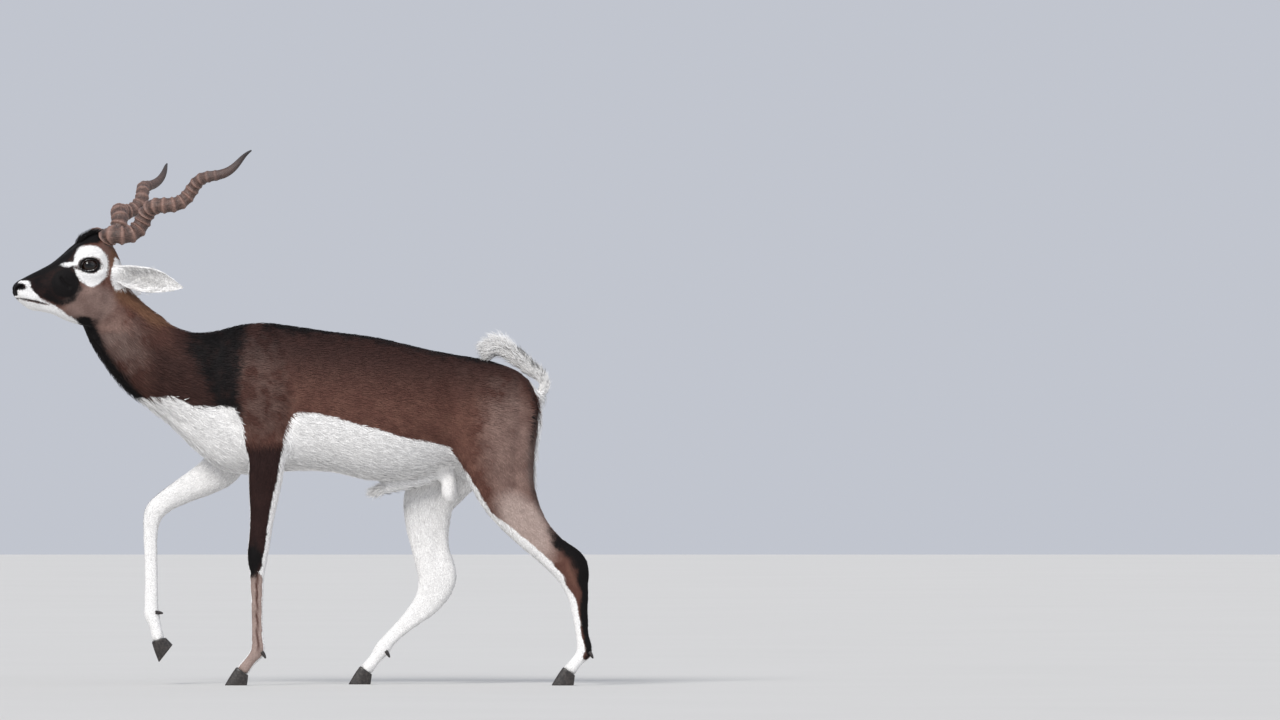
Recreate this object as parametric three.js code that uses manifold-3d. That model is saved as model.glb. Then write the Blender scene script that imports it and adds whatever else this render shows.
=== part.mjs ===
// A walking blackbuck buck, life size, as a still museum model in pieces.
// Millimetres, +Z up. The buck walks towards -X, its left side faces -Y, and its soles stand on Z = 0.
// The origin is on the floor, under the middle of the model's box.
import * as THREE from "three";
import { mergeVertices } from "three/addons/utils/BufferGeometryUtils.js";
import Module from "manifold-3d";

const wasm = await Module();
wasm.setup();

// Driving sizes
const WITHERS = 784; // floor to the top of the shoulders
const GAP = 0.3; // clearance between two pieces that meet
const GROWTH = 0.6; // how much larger a piece is made before it cuts its neighbour
const LEFT = -1; // the side towards -Y
const RIGHT = 1;
const FETLOCK = 74; // height of the lowest leg joint over the sole
const HEAD_YAW = THREE.MathUtils.degToRad(24); // the head looks a little to its left
const HEAD_ROLL = THREE.MathUtils.degToRad(3); // and its left side is a little higher
const HEAD_ORIGIN = new THREE.Vector3(-477, -40, WITHERS + 113); // midway between the eyes

// Colours and finishes of the real coat, horn, hoof and eye
const finish = (color, roughness, metalness = 0) =>
  new THREE.MeshStandardMaterial({ color, roughness, metalness });
const FINISHES = {
  brown_coat: finish(0x4a2c22, 0.85),
  dark_neck: finish(0x33231f, 0.85),
  dark_face: finish(0x1c1614, 0.8),
  white_coat: finish(0xe9e6e4, 0.9),
  grey_haunch: finish(0x6a5549, 0.85),
  horn: finish(0x5c4236, 0.55),
  hoof: finish(0x1b1715, 0.45),
  eye: finish(0x080606, 0.08),
  bare_skin: finish(0x4b4441, 0.6),
};

// Curves and rings

// The stations with `steps` more to each span, every size following a smooth curve through its values.
function refined(stations, steps) {
  const sizes = Object.keys(stations[0]);
  const last = stations.length - 1;
  const made = [];
  for (let i = 0; i <= last * steps; i++) {
    const k = Math.min(Math.floor(i / steps), last - 1);
    const t = i / steps - k;
    const row = {};
    for (const size of sizes) {
      const [p0, p1, p2, p3] = [k - 1, k, k + 1, k + 2].map(
        (j) => stations[THREE.MathUtils.clamp(j, 0, last)][size],
      );
      const slope1 = (p2 - p0) / 2;
      const slope2 = (p3 - p1) / 2;
      row[size] =
        p1 * (1 + 2 * t) * (1 - t) ** 2 +
        p2 * (3 - 2 * t) * t ** 2 +
        slope1 * t * (1 - t) ** 2 +
        slope2 * (t - 1) * t ** 2;
    }
    made.push(row);
  }
  return made;
}

const squared = (x, exponent) =>
  Math.sign(x) * Math.abs(x) ** (2 / exponent);

// One ring of points round `centre`: `ahead` and `behind` are its reach each way along one axis,
// `out` and `inn` along the other. A power of 2 gives an ellipse, more a boxier outline.
function ring(centre, axis, across, sides, reach, powers = {}) {
  const { ahead = 2, behind = 2 } = powers;
  const points = [];
  for (let i = 0; i < sides; i++) {
    const angle = (i / sides) * 2 * Math.PI;
    const c = Math.cos(angle);
    const s = Math.sin(angle);
    const power = c > 0 ? ahead : behind;
    const along = squared(c, power) * (c > 0 ? reach.ahead : reach.behind);
    const over = squared(s, power) * (s > 0 ? reach.out : reach.inn);
    points.push(
      centre.clone().addScaledVector(axis, along).addScaledVector(across, over),
    );
  }
  return points;
}

// A closed solid through rings of equal count, with a fan over each end.
function solidThrough(rings) {
  const sides = rings[0].length;
  const points = rings.flat();
  const indices = [];
  for (let r = 0; r + 1 < rings.length; r++) {
    for (let i = 0; i < sides; i++) {
      const j = (i + 1) % sides;
      const [a, b] = [r * sides + i, r * sides + j];
      indices.push(a, b, b + sides, a, b + sides, a + sides);
    }
  }
  for (const [r, turn] of [
    [0, false],
    [rings.length - 1, true],
  ]) {
    const middle = points.length;
    const sum = rings[r].reduce((v, p) => v.add(p), new THREE.Vector3());
    points.push(sum.divideScalar(sides));
    for (let i = 0; i < sides; i++) {
      const [a, b] = [r * sides + i, r * sides + ((i + 1) % sides)];
      indices.push(...(turn ? [middle, a, b] : [middle, b, a]));
    }
  }
  const geometry = new THREE.BufferGeometry().setFromPoints(points);
  geometry.setIndex(indices);
  return solidFrom(geometry);
}

// Solids and their joins

// The closed solid that a geometry bounds, turned right side out.
function solidFrom(geometry) {
  geometry.deleteAttribute("normal");
  geometry.deleteAttribute("uv");
  const merged = mergeVertices(geometry, 1e-3);
  const triVerts = new Uint32Array(merged.index.array);
  const make = () =>
    new wasm.Manifold(
      new wasm.Mesh({
        numProp: 3,
        vertProperties: merged.attributes.position.array,
        triVerts,
      }),
    );
  const made = make();
  if (made.volume() > 0) return made;
  for (let i = 0; i < triVerts.length; i += 3) {
    [triVerts[i + 1], triVerts[i + 2]] = [triVerts[i + 2], triVerts[i + 1]];
  }
  return make();
}

const joined = (solids) => solids.reduce((a, b) => a.add(b));
const cutBy = (solid, cutters) =>
  cutters.reduce((a, b) => a.subtract(b), solid);

// The largest closed surface of a solid.
function largest(solid) {
  const bodies = solid.decompose();
  return bodies.reduce((a, b) => (a.volume() > b.volume() ? a : b));
}

const HALF_SPACE = 2000;

// Half of space, on the side of `point` that `normal` looks away from.
function halfSpace(point, normal) {
  const box = new THREE.BoxGeometry(HALF_SPACE, HALF_SPACE, HALF_SPACE);
  const turn = new THREE.Quaternion().setFromUnitVectors(
    new THREE.Vector3(0, 0, 1),
    normal.clone().normalize(),
  );
  const centre = point
    .clone()
    .addScaledVector(normal.clone().normalize(), -HALF_SPACE / 2);
  box.applyQuaternion(turn).translate(centre.x, centre.y, centre.z);
  return solidFrom(box);
}

const model = new THREE.Group();

function place(name, solid, look) {
  const { numProp, vertProperties, triVerts } = largest(solid).getMesh();
  const geometry = new THREE.BufferGeometry()
    .setAttribute(
      "position",
      new THREE.BufferAttribute(vertProperties, numProp),
    )
    .setIndex(new THREE.BufferAttribute(triVerts, 1));
  const mesh = new THREE.Mesh(geometry, FINISHES[look].clone());
  mesh.name = name;
  model.add(mesh);
}

// Trunk: the barrel, and the neck that grows out of it

const UP = new THREE.Vector3(0, 0, 1);
const ACROSS = new THREE.Vector3(0, 1, 0);

// A slice stands on two points of the body's outline seen from the side. `wide` is where between
// them, from the lower one, the slice is broadest.
function slice(s, sides, grow, lateral = ACROSS) {
  const upper = new THREE.Vector3(s.topX, 0, s.topZ);
  const lower = new THREE.Vector3(s.lowX, 0, s.lowZ);
  const axis = upper.clone().sub(lower).normalize();
  const height = upper.distanceTo(lower);
  const centre = lower.clone().addScaledVector(axis, height * s.wide);
  const reach = {
    ahead: height * (1 - s.wide) + grow,
    behind: height * s.wide + grow,
    out: s.half + grow,
    inn: s.half + grow,
  };
  return ring(centre, axis, lateral, sides, reach, {
    ahead: s.upper,
    behind: s.lower,
  });
}

// Rings that round off an end: they shrink as they step outwards, by `length` in all.
function dome(points, away, length) {
  const centre = points
    .reduce((v, p) => v.add(p), new THREE.Vector3())
    .divideScalar(points.length);
  return [0.5, 0.8, 0.97].map((u) => {
    const size = Math.sqrt(1 - u * u);
    return points.map((p) =>
      p
        .clone()
        .sub(centre)
        .multiplyScalar(size)
        .add(centre)
        .addScaledVector(away, length * u),
    );
  });
}

const TORSO_SIDES = 22;
const torsoStation = (x, topZ, lowZ, half, wide, upper, lower) => ({
  topX: x,
  topZ,
  lowX: x,
  lowZ,
  half,
  wide,
  upper,
  lower,
});
// From the breast to the buttocks: place, outline above and below, half width, shape
const TORSO = [
  torsoStation(-249, 655, 525, 40, 0.5, 2, 2),
  torsoStation(-217, 715, 482, 62, 0.5, 2, 2),
  torsoStation(-185, 750, 460, 76, 0.48, 1.9, 2),
  torsoStation(-142, 775, 449, 86, 0.46, 1.8, 2),
  torsoStation(-95, WITHERS, 448, 92, 0.45, 1.8, 2),
  torsoStation(-34, 777, 455, 100, 0.47, 1.9, 2.1),
  torsoStation(52, 763, 454, 110, 0.48, 2, 2.2),
  torsoStation(133, 754, 437, 114, 0.49, 2.1, 2.2),
  torsoStation(202, 739, 436, 111, 0.5, 2.2, 2.1),
  torsoStation(267, 723, 447, 100, 0.54, 2.2, 2),
  torsoStation(331, 712, 470, 90, 0.6, 2.2, 2),
  torsoStation(396, 701, 500, 84, 0.6, 2.2, 2),
  torsoStation(449, 682, 512, 72, 0.6, 2.1, 2),
  torsoStation(480, 660, 525, 54, 0.6, 2, 2),
  torsoStation(495, 634, 548, 34, 0.58, 2, 2),
];

function torsoSolid(grow = 0) {
  const rings = TORSO.map((s) => slice(s, TORSO_SIDES, grow));
  const forward = new THREE.Vector3(-1, 0, 0);
  return solidThrough([
    ...dome(rings[0], forward, 18 + grow).reverse(),
    ...rings,
    ...dome(rings[rings.length - 1], forward.clone().negate(), 5 + grow),
  ]);
}

// From behind the jaw to the shoulders: nape point, throat point, half width
const NECK_SIDES = 20;
const neckStation = (topX, topZ, lowX, lowZ, half, shift = 0) => ({
  topX,
  topZ,
  lowX,
  lowZ,
  half,
  wide: 0.5,
  upper: 2,
  lower: 2,
  shift,
});
const NECK = [
  neckStation(-398, 872, -482, 772, 42, -9),
  neckStation(-361, 851, -464, 729, 49, -5),
  neckStation(-322, 811, -432, 679, 52, -2),
  neckStation(-286, 776, -396, 632, 55),
  neckStation(-239, 759, -346, 593, 61),
  neckStation(-181, 765, -292, 553, 70),
  neckStation(-125, 781, -245, 503, 80),
  neckStation(-80, 770, -205, 480, 78),
];

function neckSolid(grow = 0) {
  const rings = refined(NECK, 2).map((s) =>
    slice(s, NECK_SIDES, grow).map((p) => p.setY(p.y + s.shift)),
  );
  const forward = new THREE.Vector3(-0.64, -0.1, 0.76);
  return solidThrough([...dome(rings[0], forward, 30 + grow).reverse(), ...rings]);
}

// Legs

// A leg is one tube of sections that lie across its own line. y is measured outwards from the
// middle of the body, and so are out and inn.
const legStation = (x, z, y, ahead, behind, out, inn = out) => ({
  x,
  z,
  y,
  ahead,
  behind,
  out,
  inn,
});

// The line and shape of a foot below the fetlock, for a leg that stands: pastern, then coronet
const PASTERN = [
  legStation(-10, -15, 0, 14, 15, 16),
  legStation(-22, -31, 0, 15, 14.5, 17),
  legStation(-33, -46, 0, 17, 15.5, 18.5),
];

// A point of the foot, given from the fetlock, after the foot has been flexed back.
function flexed(x, z, flex) {
  const [c, s] = [Math.cos(flex), Math.sin(flex)];
  return { x: c * x - s * z, z: s * x + c * z };
}

function withFoot(stations, flex = 0) {
  const fetlock = stations[stations.length - 1];
  const foot = PASTERN.map((p) => {
    const at = flexed(p.x, p.z, flex);
    return { ...p, x: fetlock.x + at.x, z: fetlock.z + at.z, y: fetlock.y };
  });
  return [...stations, ...foot];
}

// The rings of a whole leg and the line that they follow.
function legRings(leg, grow = 0) {
  const rows = refined(leg.stations, leg.steps);
  const line = rows.map((r) => new THREE.Vector3(r.x, leg.side * r.y, r.z));
  return rows.map((r, i) => {
    const before = line[Math.max(i - 1, 0)];
    const after = line[Math.min(i + 1, line.length - 1)];
    const heading = after.clone().sub(before).normalize();
    const across = new THREE.Vector3(0, leg.side, 0);
    across.addScaledVector(heading, -across.dot(heading)).normalize();
    const ahead = new THREE.Vector3()
      .crossVectors(across, heading)
      .multiplyScalar(leg.side);
    const reach = {
      ahead: r.ahead + grow,
      behind: r.behind + grow,
      out: r.out + grow,
      inn: r.inn + grow,
    };
    return {
      centre: line[i],
      heading,
      ahead,
      points: ring(line[i], ahead, across, leg.sides, reach, leg.powers),
    };
  });
}

// Half of space, past the leg's own section at a ring.
const beyond = (r, distance) =>
  halfSpace(
    r.centre.clone().addScaledVector(r.heading, distance),
    r.heading.clone().negate(),
  );

const shifted = (r, distance) =>
  r.points.map((p) => p.clone().addScaledVector(r.heading, distance));

const LEG_DOME = 24;

function legStart(rings, grow) {
  const away = rings[0].heading.clone().negate();
  return dome(rings[0].points, away, LEG_DOME + grow).reverse();
}

// The whole leg down to the coronet, made larger by `grow`.
function legSolid(leg, grow) {
  const rings = legRings(leg, grow);
  return solidThrough([
    ...legStart(rings, grow),
    ...rings.map((r) => r.points),
  ]);
}

// The leg's pieces: it is parted across its own line at its joints.
function legPieces(leg) {
  const rings = legRings(leg);
  const joints = [0, ...leg.joints, leg.stations.length - 1];
  return leg.names.map((name, n) => {
    const [from, to] = [joints[n] * leg.steps, joints[n + 1] * leg.steps];
    const own = rings.slice(from, to + 1).map((r, i, all) => {
      if (i === 0 && n > 0) return shifted(r, GAP / 2);
      if (i === all.length - 1) return shifted(r, -GAP / 2);
      return r.points;
    });
    const start = n === 0 ? legStart(rings, 0) : [];
    return { name, solid: solidThrough([...start, ...own]) };
  });
}

const FORE_NAMES = ["shoulder", "forearm", "fore_cannon", "fore_pastern"];
const HIND_NAMES = ["haunch", "shank", "hind_cannon", "hind_pastern"];
const FORE_SPREAD = 66; // half the distance between the forefeet
const HIND_SPREAD = 75;
const LIFT = THREE.MathUtils.degToRad(52); // how far the raised forefoot hangs back

const LEGS = [
  {
    // left foreleg, standing
    end: "left",
    side: LEFT,
    kind: "fore",
    names: FORE_NAMES,
    steps: 2,
    sides: 12,
    joints: [4, 9, 13],
    flex: 0,
    stations: withFoot([
      legStation(-88, 728, 50, 36, 44, 22, 14),
      legStation(-100, 680, 62, 54, 64, 29, 20),
      legStation(-103, 620, 71, 66, 76, 34, 24),
      legStation(-92, 565, 75, 55, 65, 34, 26),
      legStation(-83, 515, 76, 47, 51, 30, 27),
      legStation(-83, 470, 76, 42, 44, 27, 26),
      legStation(-87, 415, 74, 36, 37, 23, 23),
      legStation(-93, 355, 72, 27, 29, 20, 20),
      legStation(-98, 300, 70, 25, 25, 18.5, 18.5),
      legStation(-101, 268, 69, 23, 22, 18.5, 18.5),
      legStation(-104, 228, 68, 16, 19, 14.5, 14.5),
      legStation(-104, 170, 67, 13.5, 17, 12.5, 12.5),
      legStation(-103, 112, FORE_SPREAD, 13.5, 16, 12.5, 12.5),
      legStation(-102, FETLOCK, FORE_SPREAD, 15.5, 18.5, 15.5, 15.5),
    ]),
  },
  {
    // right foreleg, swinging forward with its foot off the floor
    end: "right",
    side: RIGHT,
    kind: "fore",
    names: FORE_NAMES,
    steps: 2,
    sides: 12,
    joints: [4, 9, 14],
    flex: LIFT,
    stations: withFoot(
      [
        legStation(-88, 728, 50, 36, 44, 22, 14),
        legStation(-108, 680, 62, 54, 64, 29, 20),
        legStation(-126, 622, 71, 64, 76, 34, 24),
        legStation(-141, 568, 75, 56, 64, 34, 26),
        legStation(-158, 515, 76, 47, 52, 30, 27),
        legStation(-178, 468, 75, 47, 45, 27, 26),
        legStation(-213, 440, 74, 41, 36, 24, 24),
        legStation(-255, 418, 72, 33, 29, 21, 21),
        legStation(-297, 396, 70, 25, 25, 19, 19),
        legStation(-325, 370, 69, 22, 23, 18.5, 18.5),
        legStation(-333, 330, 68, 18, 17, 14.5, 14.5),
        legStation(-333, 278, 68, 16, 16, 12.5, 12.5),
        legStation(-332, 222, 67, 16, 16, 12.5, 12.5),
        legStation(-332, 174, FORE_SPREAD, 17, 17, 13, 13),
        legStation(-331, 148, FORE_SPREAD, 18, 19, 15.5, 15.5),
      ],
      LIFT,
    ),
  },
  {
    // left hind leg, stretched out behind
    end: "left",
    side: LEFT,
    kind: "hind",
    names: HIND_NAMES,
    steps: 2,
    sides: 14,
    powers: { ahead: 2.2, behind: 2.7 },
    joints: [4, 8, 12],
    flex: 0,
    stations: withFoot([
      legStation(400, 662, 44, 58, 66, 38, 22),
      legStation(408, 618, 48, 84, 95, 50, 40),
      legStation(403, 558, 53, 98, 107, 55, 44),
      legStation(411, 500, 57, 88, 93, 52, 42),
      legStation(422, 446, 60, 74, 77, 44, 36),
      legStation(447, 391, 64, 63, 57, 36, 32),
      legStation(482, 334, 67, 45, 44, 28, 27),
      legStation(522, 288, 70, 34, 41, 23, 22),
      legStation(562, 247, 72, 32, 49, 21, 21),
      legStation(580, 205, 73, 25, 30, 17, 17),
      legStation(586, 160, 74, 17, 23, 14, 14),
      legStation(592, 112, HIND_SPREAD, 15, 18.5, 13, 13),
      legStation(598, FETLOCK, HIND_SPREAD, 17, 20, 16.5, 16.5),
    ]),
  },
  {
    // right hind leg, set forward under the belly
    end: "right",
    side: RIGHT,
    kind: "hind",
    names: HIND_NAMES,
    steps: 2,
    sides: 14,
    powers: { ahead: 2.2, behind: 2.7 },
    joints: [4, 8, 13],
    flex: 0,
    stations: withFoot([
      legStation(400, 662, 44, 58, 66, 38, 22),
      legStation(394, 618, 48, 88, 92, 50, 40),
      legStation(370, 560, 53, 96, 98, 53, 43),
      legStation(334, 502, 57, 82, 86, 48, 40),
      legStation(296, 450, 62, 66, 72, 41, 35),
      legStation(266, 400, 66, 59, 60, 35, 32),
      legStation(261, 345, 69, 50, 51, 29, 28),
      legStation(266, 288, 72, 40, 44, 24, 23),
      legStation(276, 229, 74, 37, 49, 21, 21),
      legStation(259, 183, 75, 27, 38, 17.5, 17.5),
      legStation(231, 150, HIND_SPREAD, 20, 27, 15, 15),
      legStation(200, 119, HIND_SPREAD, 16, 20, 13.5, 13.5),
      legStation(176, 94, HIND_SPREAD, 15.5, 18.5, 14.5, 14.5),
      legStation(161, FETLOCK, HIND_SPREAD, 17, 19.5, 16.5, 16.5),
    ]),
  },
];

// Hooves: two claws to a foot, each narrowing to its toe, flat below

const CLAW = {
  sides: 12,
  gap: 1.2, // half the cleft between the claws
  half: 8.6, // half a claw's breadth
  coronet: { x: -31, z: -44, ahead: 16, behind: 14.5 },
  sole: { x: -42, ahead: 28, behind: 20 },
};

function clawSolid(leg, inner) {
  const fetlock = leg.stations[leg.stations.length - 1 - PASTERN.length];
  const offset = (inner ? -1 : 1) * (CLAW.half + CLAW.gap);
  // The top lies across the pastern's line and the sole is level in a foot that stands.
  const [upper, lower] = PASTERN.slice(-2);
  const tilt = Math.atan2(upper.x - lower.x, upper.z - lower.z);
  const rings = [];
  for (const t of [0, 0.35, 0.7, 1]) {
    const angle = tilt * (1 - t) ** 1.5;
    const [c, s] = [Math.cos(angle), Math.sin(angle)];
    const x = THREE.MathUtils.lerp(CLAW.coronet.x, CLAW.sole.x, t);
    const z = THREE.MathUtils.lerp(CLAW.coronet.z, -FETLOCK, t);
    const ahead = THREE.MathUtils.lerp(CLAW.coronet.ahead, CLAW.sole.ahead, t);
    const behind = THREE.MathUtils.lerp(
      CLAW.coronet.behind,
      CLAW.sole.behind,
      t ** 1.5,
    );
    const points = [];
    for (let i = 0; i < CLAW.sides; i++) {
      const a = (i / CLAW.sides) * 2 * Math.PI;
      const along = Math.cos(a) * (Math.cos(a) > 0 ? ahead : behind);
      const taper = 1 - 0.45 * t * Math.max(Math.cos(a), 0) ** 2;
      const over = squared(Math.sin(a), 2.6) * CLAW.half * taper;
      const local = flexed(x - along * c, z + along * s, leg.flex);
      points.push(
        new THREE.Vector3(
          fetlock.x + local.x,
          leg.side * (fetlock.y + offset + over),
          fetlock.z + local.z,
        ),
      );
    }
    rings.push(points);
  }
  return solidThrough(rings).intersect(beyond(legRings(leg).at(-1), GAP / 2));
}

// The two small dewclaws that stand out behind a fetlock
const DEWCLAW = { behind: 17, down: 11, apart: 8.5, length: 8.5, half: 5.5 };

function dewclaws(leg) {
  const fetlock = legRings(leg)[leg.joints.at(-1) * leg.steps];
  const { heading, ahead, centre } = fetlock;
  return [-1, 1].map((hand) => {
    const at = centre
      .clone()
      .addScaledVector(ahead, -DEWCLAW.behind)
      .addScaledVector(heading, DEWCLAW.down)
      .addScaledVector(ACROSS, hand * DEWCLAW.apart);
    const ball = new THREE.SphereGeometry(1, 6, 4);
    ball.scale(DEWCLAW.half, DEWCLAW.length, DEWCLAW.half);
    ball.applyQuaternion(
      new THREE.Quaternion().setFromUnitVectors(ACROSS, heading),
    );
    ball.translate(at.x, at.y, at.z);
    return solidFrom(ball).intersect(beyond(fetlock, GAP / 2));
  });
}

// Head, in its own frame: x forward from between the eyes, y to the buck's left, z up

const HEAD_FRAME = new THREE.Matrix4()
  .makeRotationZ(Math.PI + HEAD_YAW)
  .multiply(new THREE.Matrix4().makeRotationX(HEAD_ROLL))
  .setPosition(HEAD_ORIGIN);
const onHead = (x, y, z) => new THREE.Vector3(x, y, z).applyMatrix4(HEAD_FRAME);
const headRing = (points) => points.map((p) => p.applyMatrix4(HEAD_FRAME));

const HEAD_SIDES = 22;
const headStation = (x, topZ, lowZ, half, wide, upper, lower) => ({
  topX: x,
  topZ,
  lowX: x,
  lowZ,
  half,
  wide,
  upper,
  lower,
});
// From the nose back to the poll
const HEAD = [
  headStation(158, -38, -63, 15, 0.55, 2.6, 2.4),
  headStation(150, -30, -74, 20, 0.56, 2.6, 2.3),
  headStation(136, -23, -86, 21.5, 0.56, 2.5, 2.1),
  headStation(120, -15, -95, 22, 0.54, 2.4, 2),
  headStation(96, -4, -98, 24, 0.52, 2.4, 2),
  headStation(70, 9, -104, 30, 0.55, 2.4, 1.9),
  headStation(46, 26, -115, 38, 0.6, 2.4, 1.8),
  headStation(22, 45, -123, 47, 0.66, 2.4, 1.7),
  headStation(-2, 61, -128, 51, 0.67, 2.4, 1.7),
  headStation(-26, 68, -127, 51, 0.64, 2.4, 1.8),
  headStation(-46, 64, -115, 49, 0.58, 2.3, 1.9),
  headStation(-65, 50, -96, 46, 0.54, 2.2, 2),
  headStation(-81, 30, -74, 38, 0.52, 2.1, 2),
];

function headLoft(grow = 0) {
  const rings = refined(HEAD, 2).map((s) => slice(s, HEAD_SIDES, grow));
  const ahead = new THREE.Vector3(1, 0, 0);
  return solidThrough(
    [
      ...dome(rings[0], ahead, 4 + grow).reverse(),
      ...rings,
      ...dome(rings[rings.length - 1], ahead.clone().negate(), 13 + grow),
    ].map(headRing),
  );
}

// Eyes and lids

const EYE = { radius: 18.5, x: 0, y: 35.5, z: 0, turn: 0.3, lid: 3, sides: 16 };
// Half length, height of its two corners, and how far its arcs are drawn up and down
const LID_OPENING = { half: 17.5, front: -2, rear: 1, high: 17, low: 13.5 };

function eyeball(side, radius) {
  const ball = new THREE.SphereGeometry(radius, EYE.sides, EYE.sides / 2);
  const at = onHead(EYE.x, side * EYE.y, EYE.z);
  ball.rotateX(Math.PI / 2);
  ball.translate(at.x, at.y, at.z);
  return solidFrom(ball);
}

// A prism along the eye's gaze whose outline is the almond between the lids.
function lidOpening(side) {
  const { front, rear, high, low } = LID_OPENING;
  const half = side * LID_OPENING.half;
  const almond = new THREE.Shape();
  almond.moveTo(-half, front);
  almond.bezierCurveTo(-half * 0.6, high, half * 0.4, high, half, rear);
  almond.bezierCurveTo(half * 0.4, -low, -half * 0.5, -low, -half, front);
  const prism = new THREE.ExtrudeGeometry(almond, {
    depth: 2 * EYE.radius,
    bevelEnabled: false,
    curveSegments: 8,
  });
  prism.rotateX(Math.PI / 2);
  if (side > 0) prism.rotateZ(Math.PI);
  prism.rotateZ(-side * EYE.turn);
  prism.translate(EYE.x, side * EYE.y, EYE.z);
  prism.applyMatrix4(HEAD_FRAME);
  return solidFrom(prism);
}

// Nostrils and mouth

// A tapered tube through points of the head's frame.
function headTube(points, radii, sides = 6) {
  const curve = new THREE.CatmullRomCurve3(points);
  const count = (radii.length - 1) * 2;
  const rings = [];
  for (let i = 0; i <= count; i++) {
    const t = i / count;
    const heading = curve.getTangentAt(t);
    const side = new THREE.Vector3().crossVectors(heading, UP).normalize();
    const top = new THREE.Vector3().crossVectors(side, heading);
    const k = Math.min(Math.floor(i / 2), radii.length - 2);
    const r = THREE.MathUtils.lerp(radii[k], radii[k + 1], i / 2 - k);
    const reach = { ahead: r, behind: r, out: r, inn: r };
    rings.push(headRing(ring(curve.getPointAt(t), top, side, sides, reach)));
  }
  return solidThrough(rings);
}

function nostril(side) {
  const points = [
    new THREE.Vector3(155, side * 9, -49),
    new THREE.Vector3(153, side * 15, -44),
    new THREE.Vector3(146, side * 20.5, -39),
    new THREE.Vector3(138, side * 23, -39),
  ];
  return headTube(points, [1.6, 3.4, 3.4, 1.4]);
}

// The slit between the lips runs back along the muzzle and fades at the corner of the mouth.
const MOUTH = { depth: 3.2, half: 0.9, corner: 78, front: 162 };
const mouthLine = (x) => -67 - 0.21 * (MOUTH.front - x);

function mouthSlit() {
  const sheet = [];
  for (let i = 0; i <= 8; i++) {
    const x = THREE.MathUtils.lerp(MOUTH.corner, MOUTH.front, i / 8);
    const half = MOUTH.half * (i === 0 ? 0.2 : 1);
    const z = mouthLine(x);
    sheet.push(
      headRing([
        new THREE.Vector3(x, -60, z - half),
        new THREE.Vector3(x, 60, z - half),
        new THREE.Vector3(x, 60, z + half),
        new THREE.Vector3(x, -60, z + half),
      ]),
    );
  }
  return solidThrough(sheet).subtract(headLoft(-MOUTH.depth));
}

// Forelock: a short dark crest of locks in front of the horns

// A flat tapered lock that leaves `root` along `heading`, drooping towards `fall`.
function lock({ root, heading, flat, fall, length, width, thick }) {
  const across = new THREE.Vector3().crossVectors(flat, heading).normalize();
  const rings = [];
  for (const [t, size] of [
    [0, 0.75],
    [0.35, 1],
    [0.75, 0.65],
    [1, 0.08],
  ]) {
    const centre = root
      .clone()
      .addScaledVector(heading, length * t)
      .addScaledVector(fall, length * t * t);
    rings.push(
      ring(centre, flat, across, 4, {
        ahead: (thick / 2) * size,
        behind: (thick / 2) * size,
        out: (width / 2) * size,
        inn: (width / 2) * size,
      }),
    );
  }
  return solidThrough(rings);
}

// A number from 0 to 1 that is the same each run.
let drawn = 7;
function draw() {
  drawn = (drawn * 16807) % 2147483647;
  return drawn / 2147483647;
}
const between = (low, high) => low + (high - low) * draw();

function forelock() {
  const locks = [];
  for (let i = 0; i < 9; i++) {
    const spread = (i % 3) - 1;
    const row = Math.floor(i / 3);
    const turned = (v) => v.transformDirection(HEAD_FRAME);
    locks.push(
      lock({
        root: onHead(17 - row * 12, spread * 9 + between(-2, 2), 42 + row * 6),
        heading: turned(new THREE.Vector3(-0.4, spread * 0.18, 1)),
        flat: turned(new THREE.Vector3(1, 0, 0.35)),
        fall: turned(new THREE.Vector3(-1, 0, 0.1)).multiplyScalar(0.35),
        length: between(25, 30),
        width: between(18, 21),
        thick: 6,
      }),
    );
  }
  return locks;
}

function headSolid() {
  const sides = [-1, 1];
  const flesh = joined([
    headLoft(),
    ...sides.map((side) => eyeball(side, EYE.radius + EYE.lid)),
  ]);
  const cut = cutBy(flesh, [
    ...sides.map(lidOpening),
    ...sides.map((side) => eyeball(side, EYE.radius + GROWTH)),
    ...sides.map(nostril),
    mouthSlit(),
  ]);
  return joined([largest(cut), ...forelock()]);
}

// Ears: a leaf rolled into a cup, its open side outwards

const EAR = {
  length: 152,
  root: new THREE.Vector3(-58, 38, -15),
  heading: new THREE.Vector3(-0.83, 0.53, -0.24).normalize(),
  open: new THREE.Vector3(0.5, 0.78, -0.3),
  arc: 7, // faces round the cup
};

// Half width, depth of the cup and wall along the ear
const EAR_SHAPE = [
  { half: 19, depth: 20, wall: 6 },
  { half: 25, depth: 20, wall: 4.5 },
  { half: 28, depth: 17, wall: 3.6 },
  { half: 28, depth: 13, wall: 3.2 },
  { half: 23, depth: 9, wall: 2.8 },
  { half: 14, depth: 5, wall: 2.2 },
  { half: 3, depth: 1.2, wall: 1.4 },
];

function earSolid(side) {
  const mirrored = (v) => new THREE.Vector3(v.x, v.y * side, v.z);
  const heading = mirrored(EAR.heading);
  const open = mirrored(EAR.open);
  open.addScaledVector(heading, -open.dot(heading)).normalize();
  const across = new THREE.Vector3().crossVectors(heading, open);
  const rows = refined(EAR_SHAPE, 2);
  const rings = rows.map((s, n) => {
    const t = n / (rows.length - 1);
    const centre = mirrored(EAR.root).addScaledVector(
      heading,
      EAR.length * t ** 0.9,
    );
    const wallPoint = (i, inside) => {
      const angle = (i / EAR.arc - 0.5) * Math.PI * 1.15;
      const lift = inside ? s.wall : 0;
      return centre
        .clone()
        .addScaledVector(across, Math.sin(angle) * (s.half - lift * 0.6))
        .addScaledVector(open, -Math.cos(angle) * (s.depth - lift));
    };
    const points = [];
    for (let i = 0; i <= EAR.arc; i++) points.push(wallPoint(i, false));
    for (let i = EAR.arc; i >= 0; i--) points.push(wallPoint(i, true));
    return headRing(points);
  });
  return solidThrough(rings);
}

// Horns: ringed, and wound round their own line as a corkscrew

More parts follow.
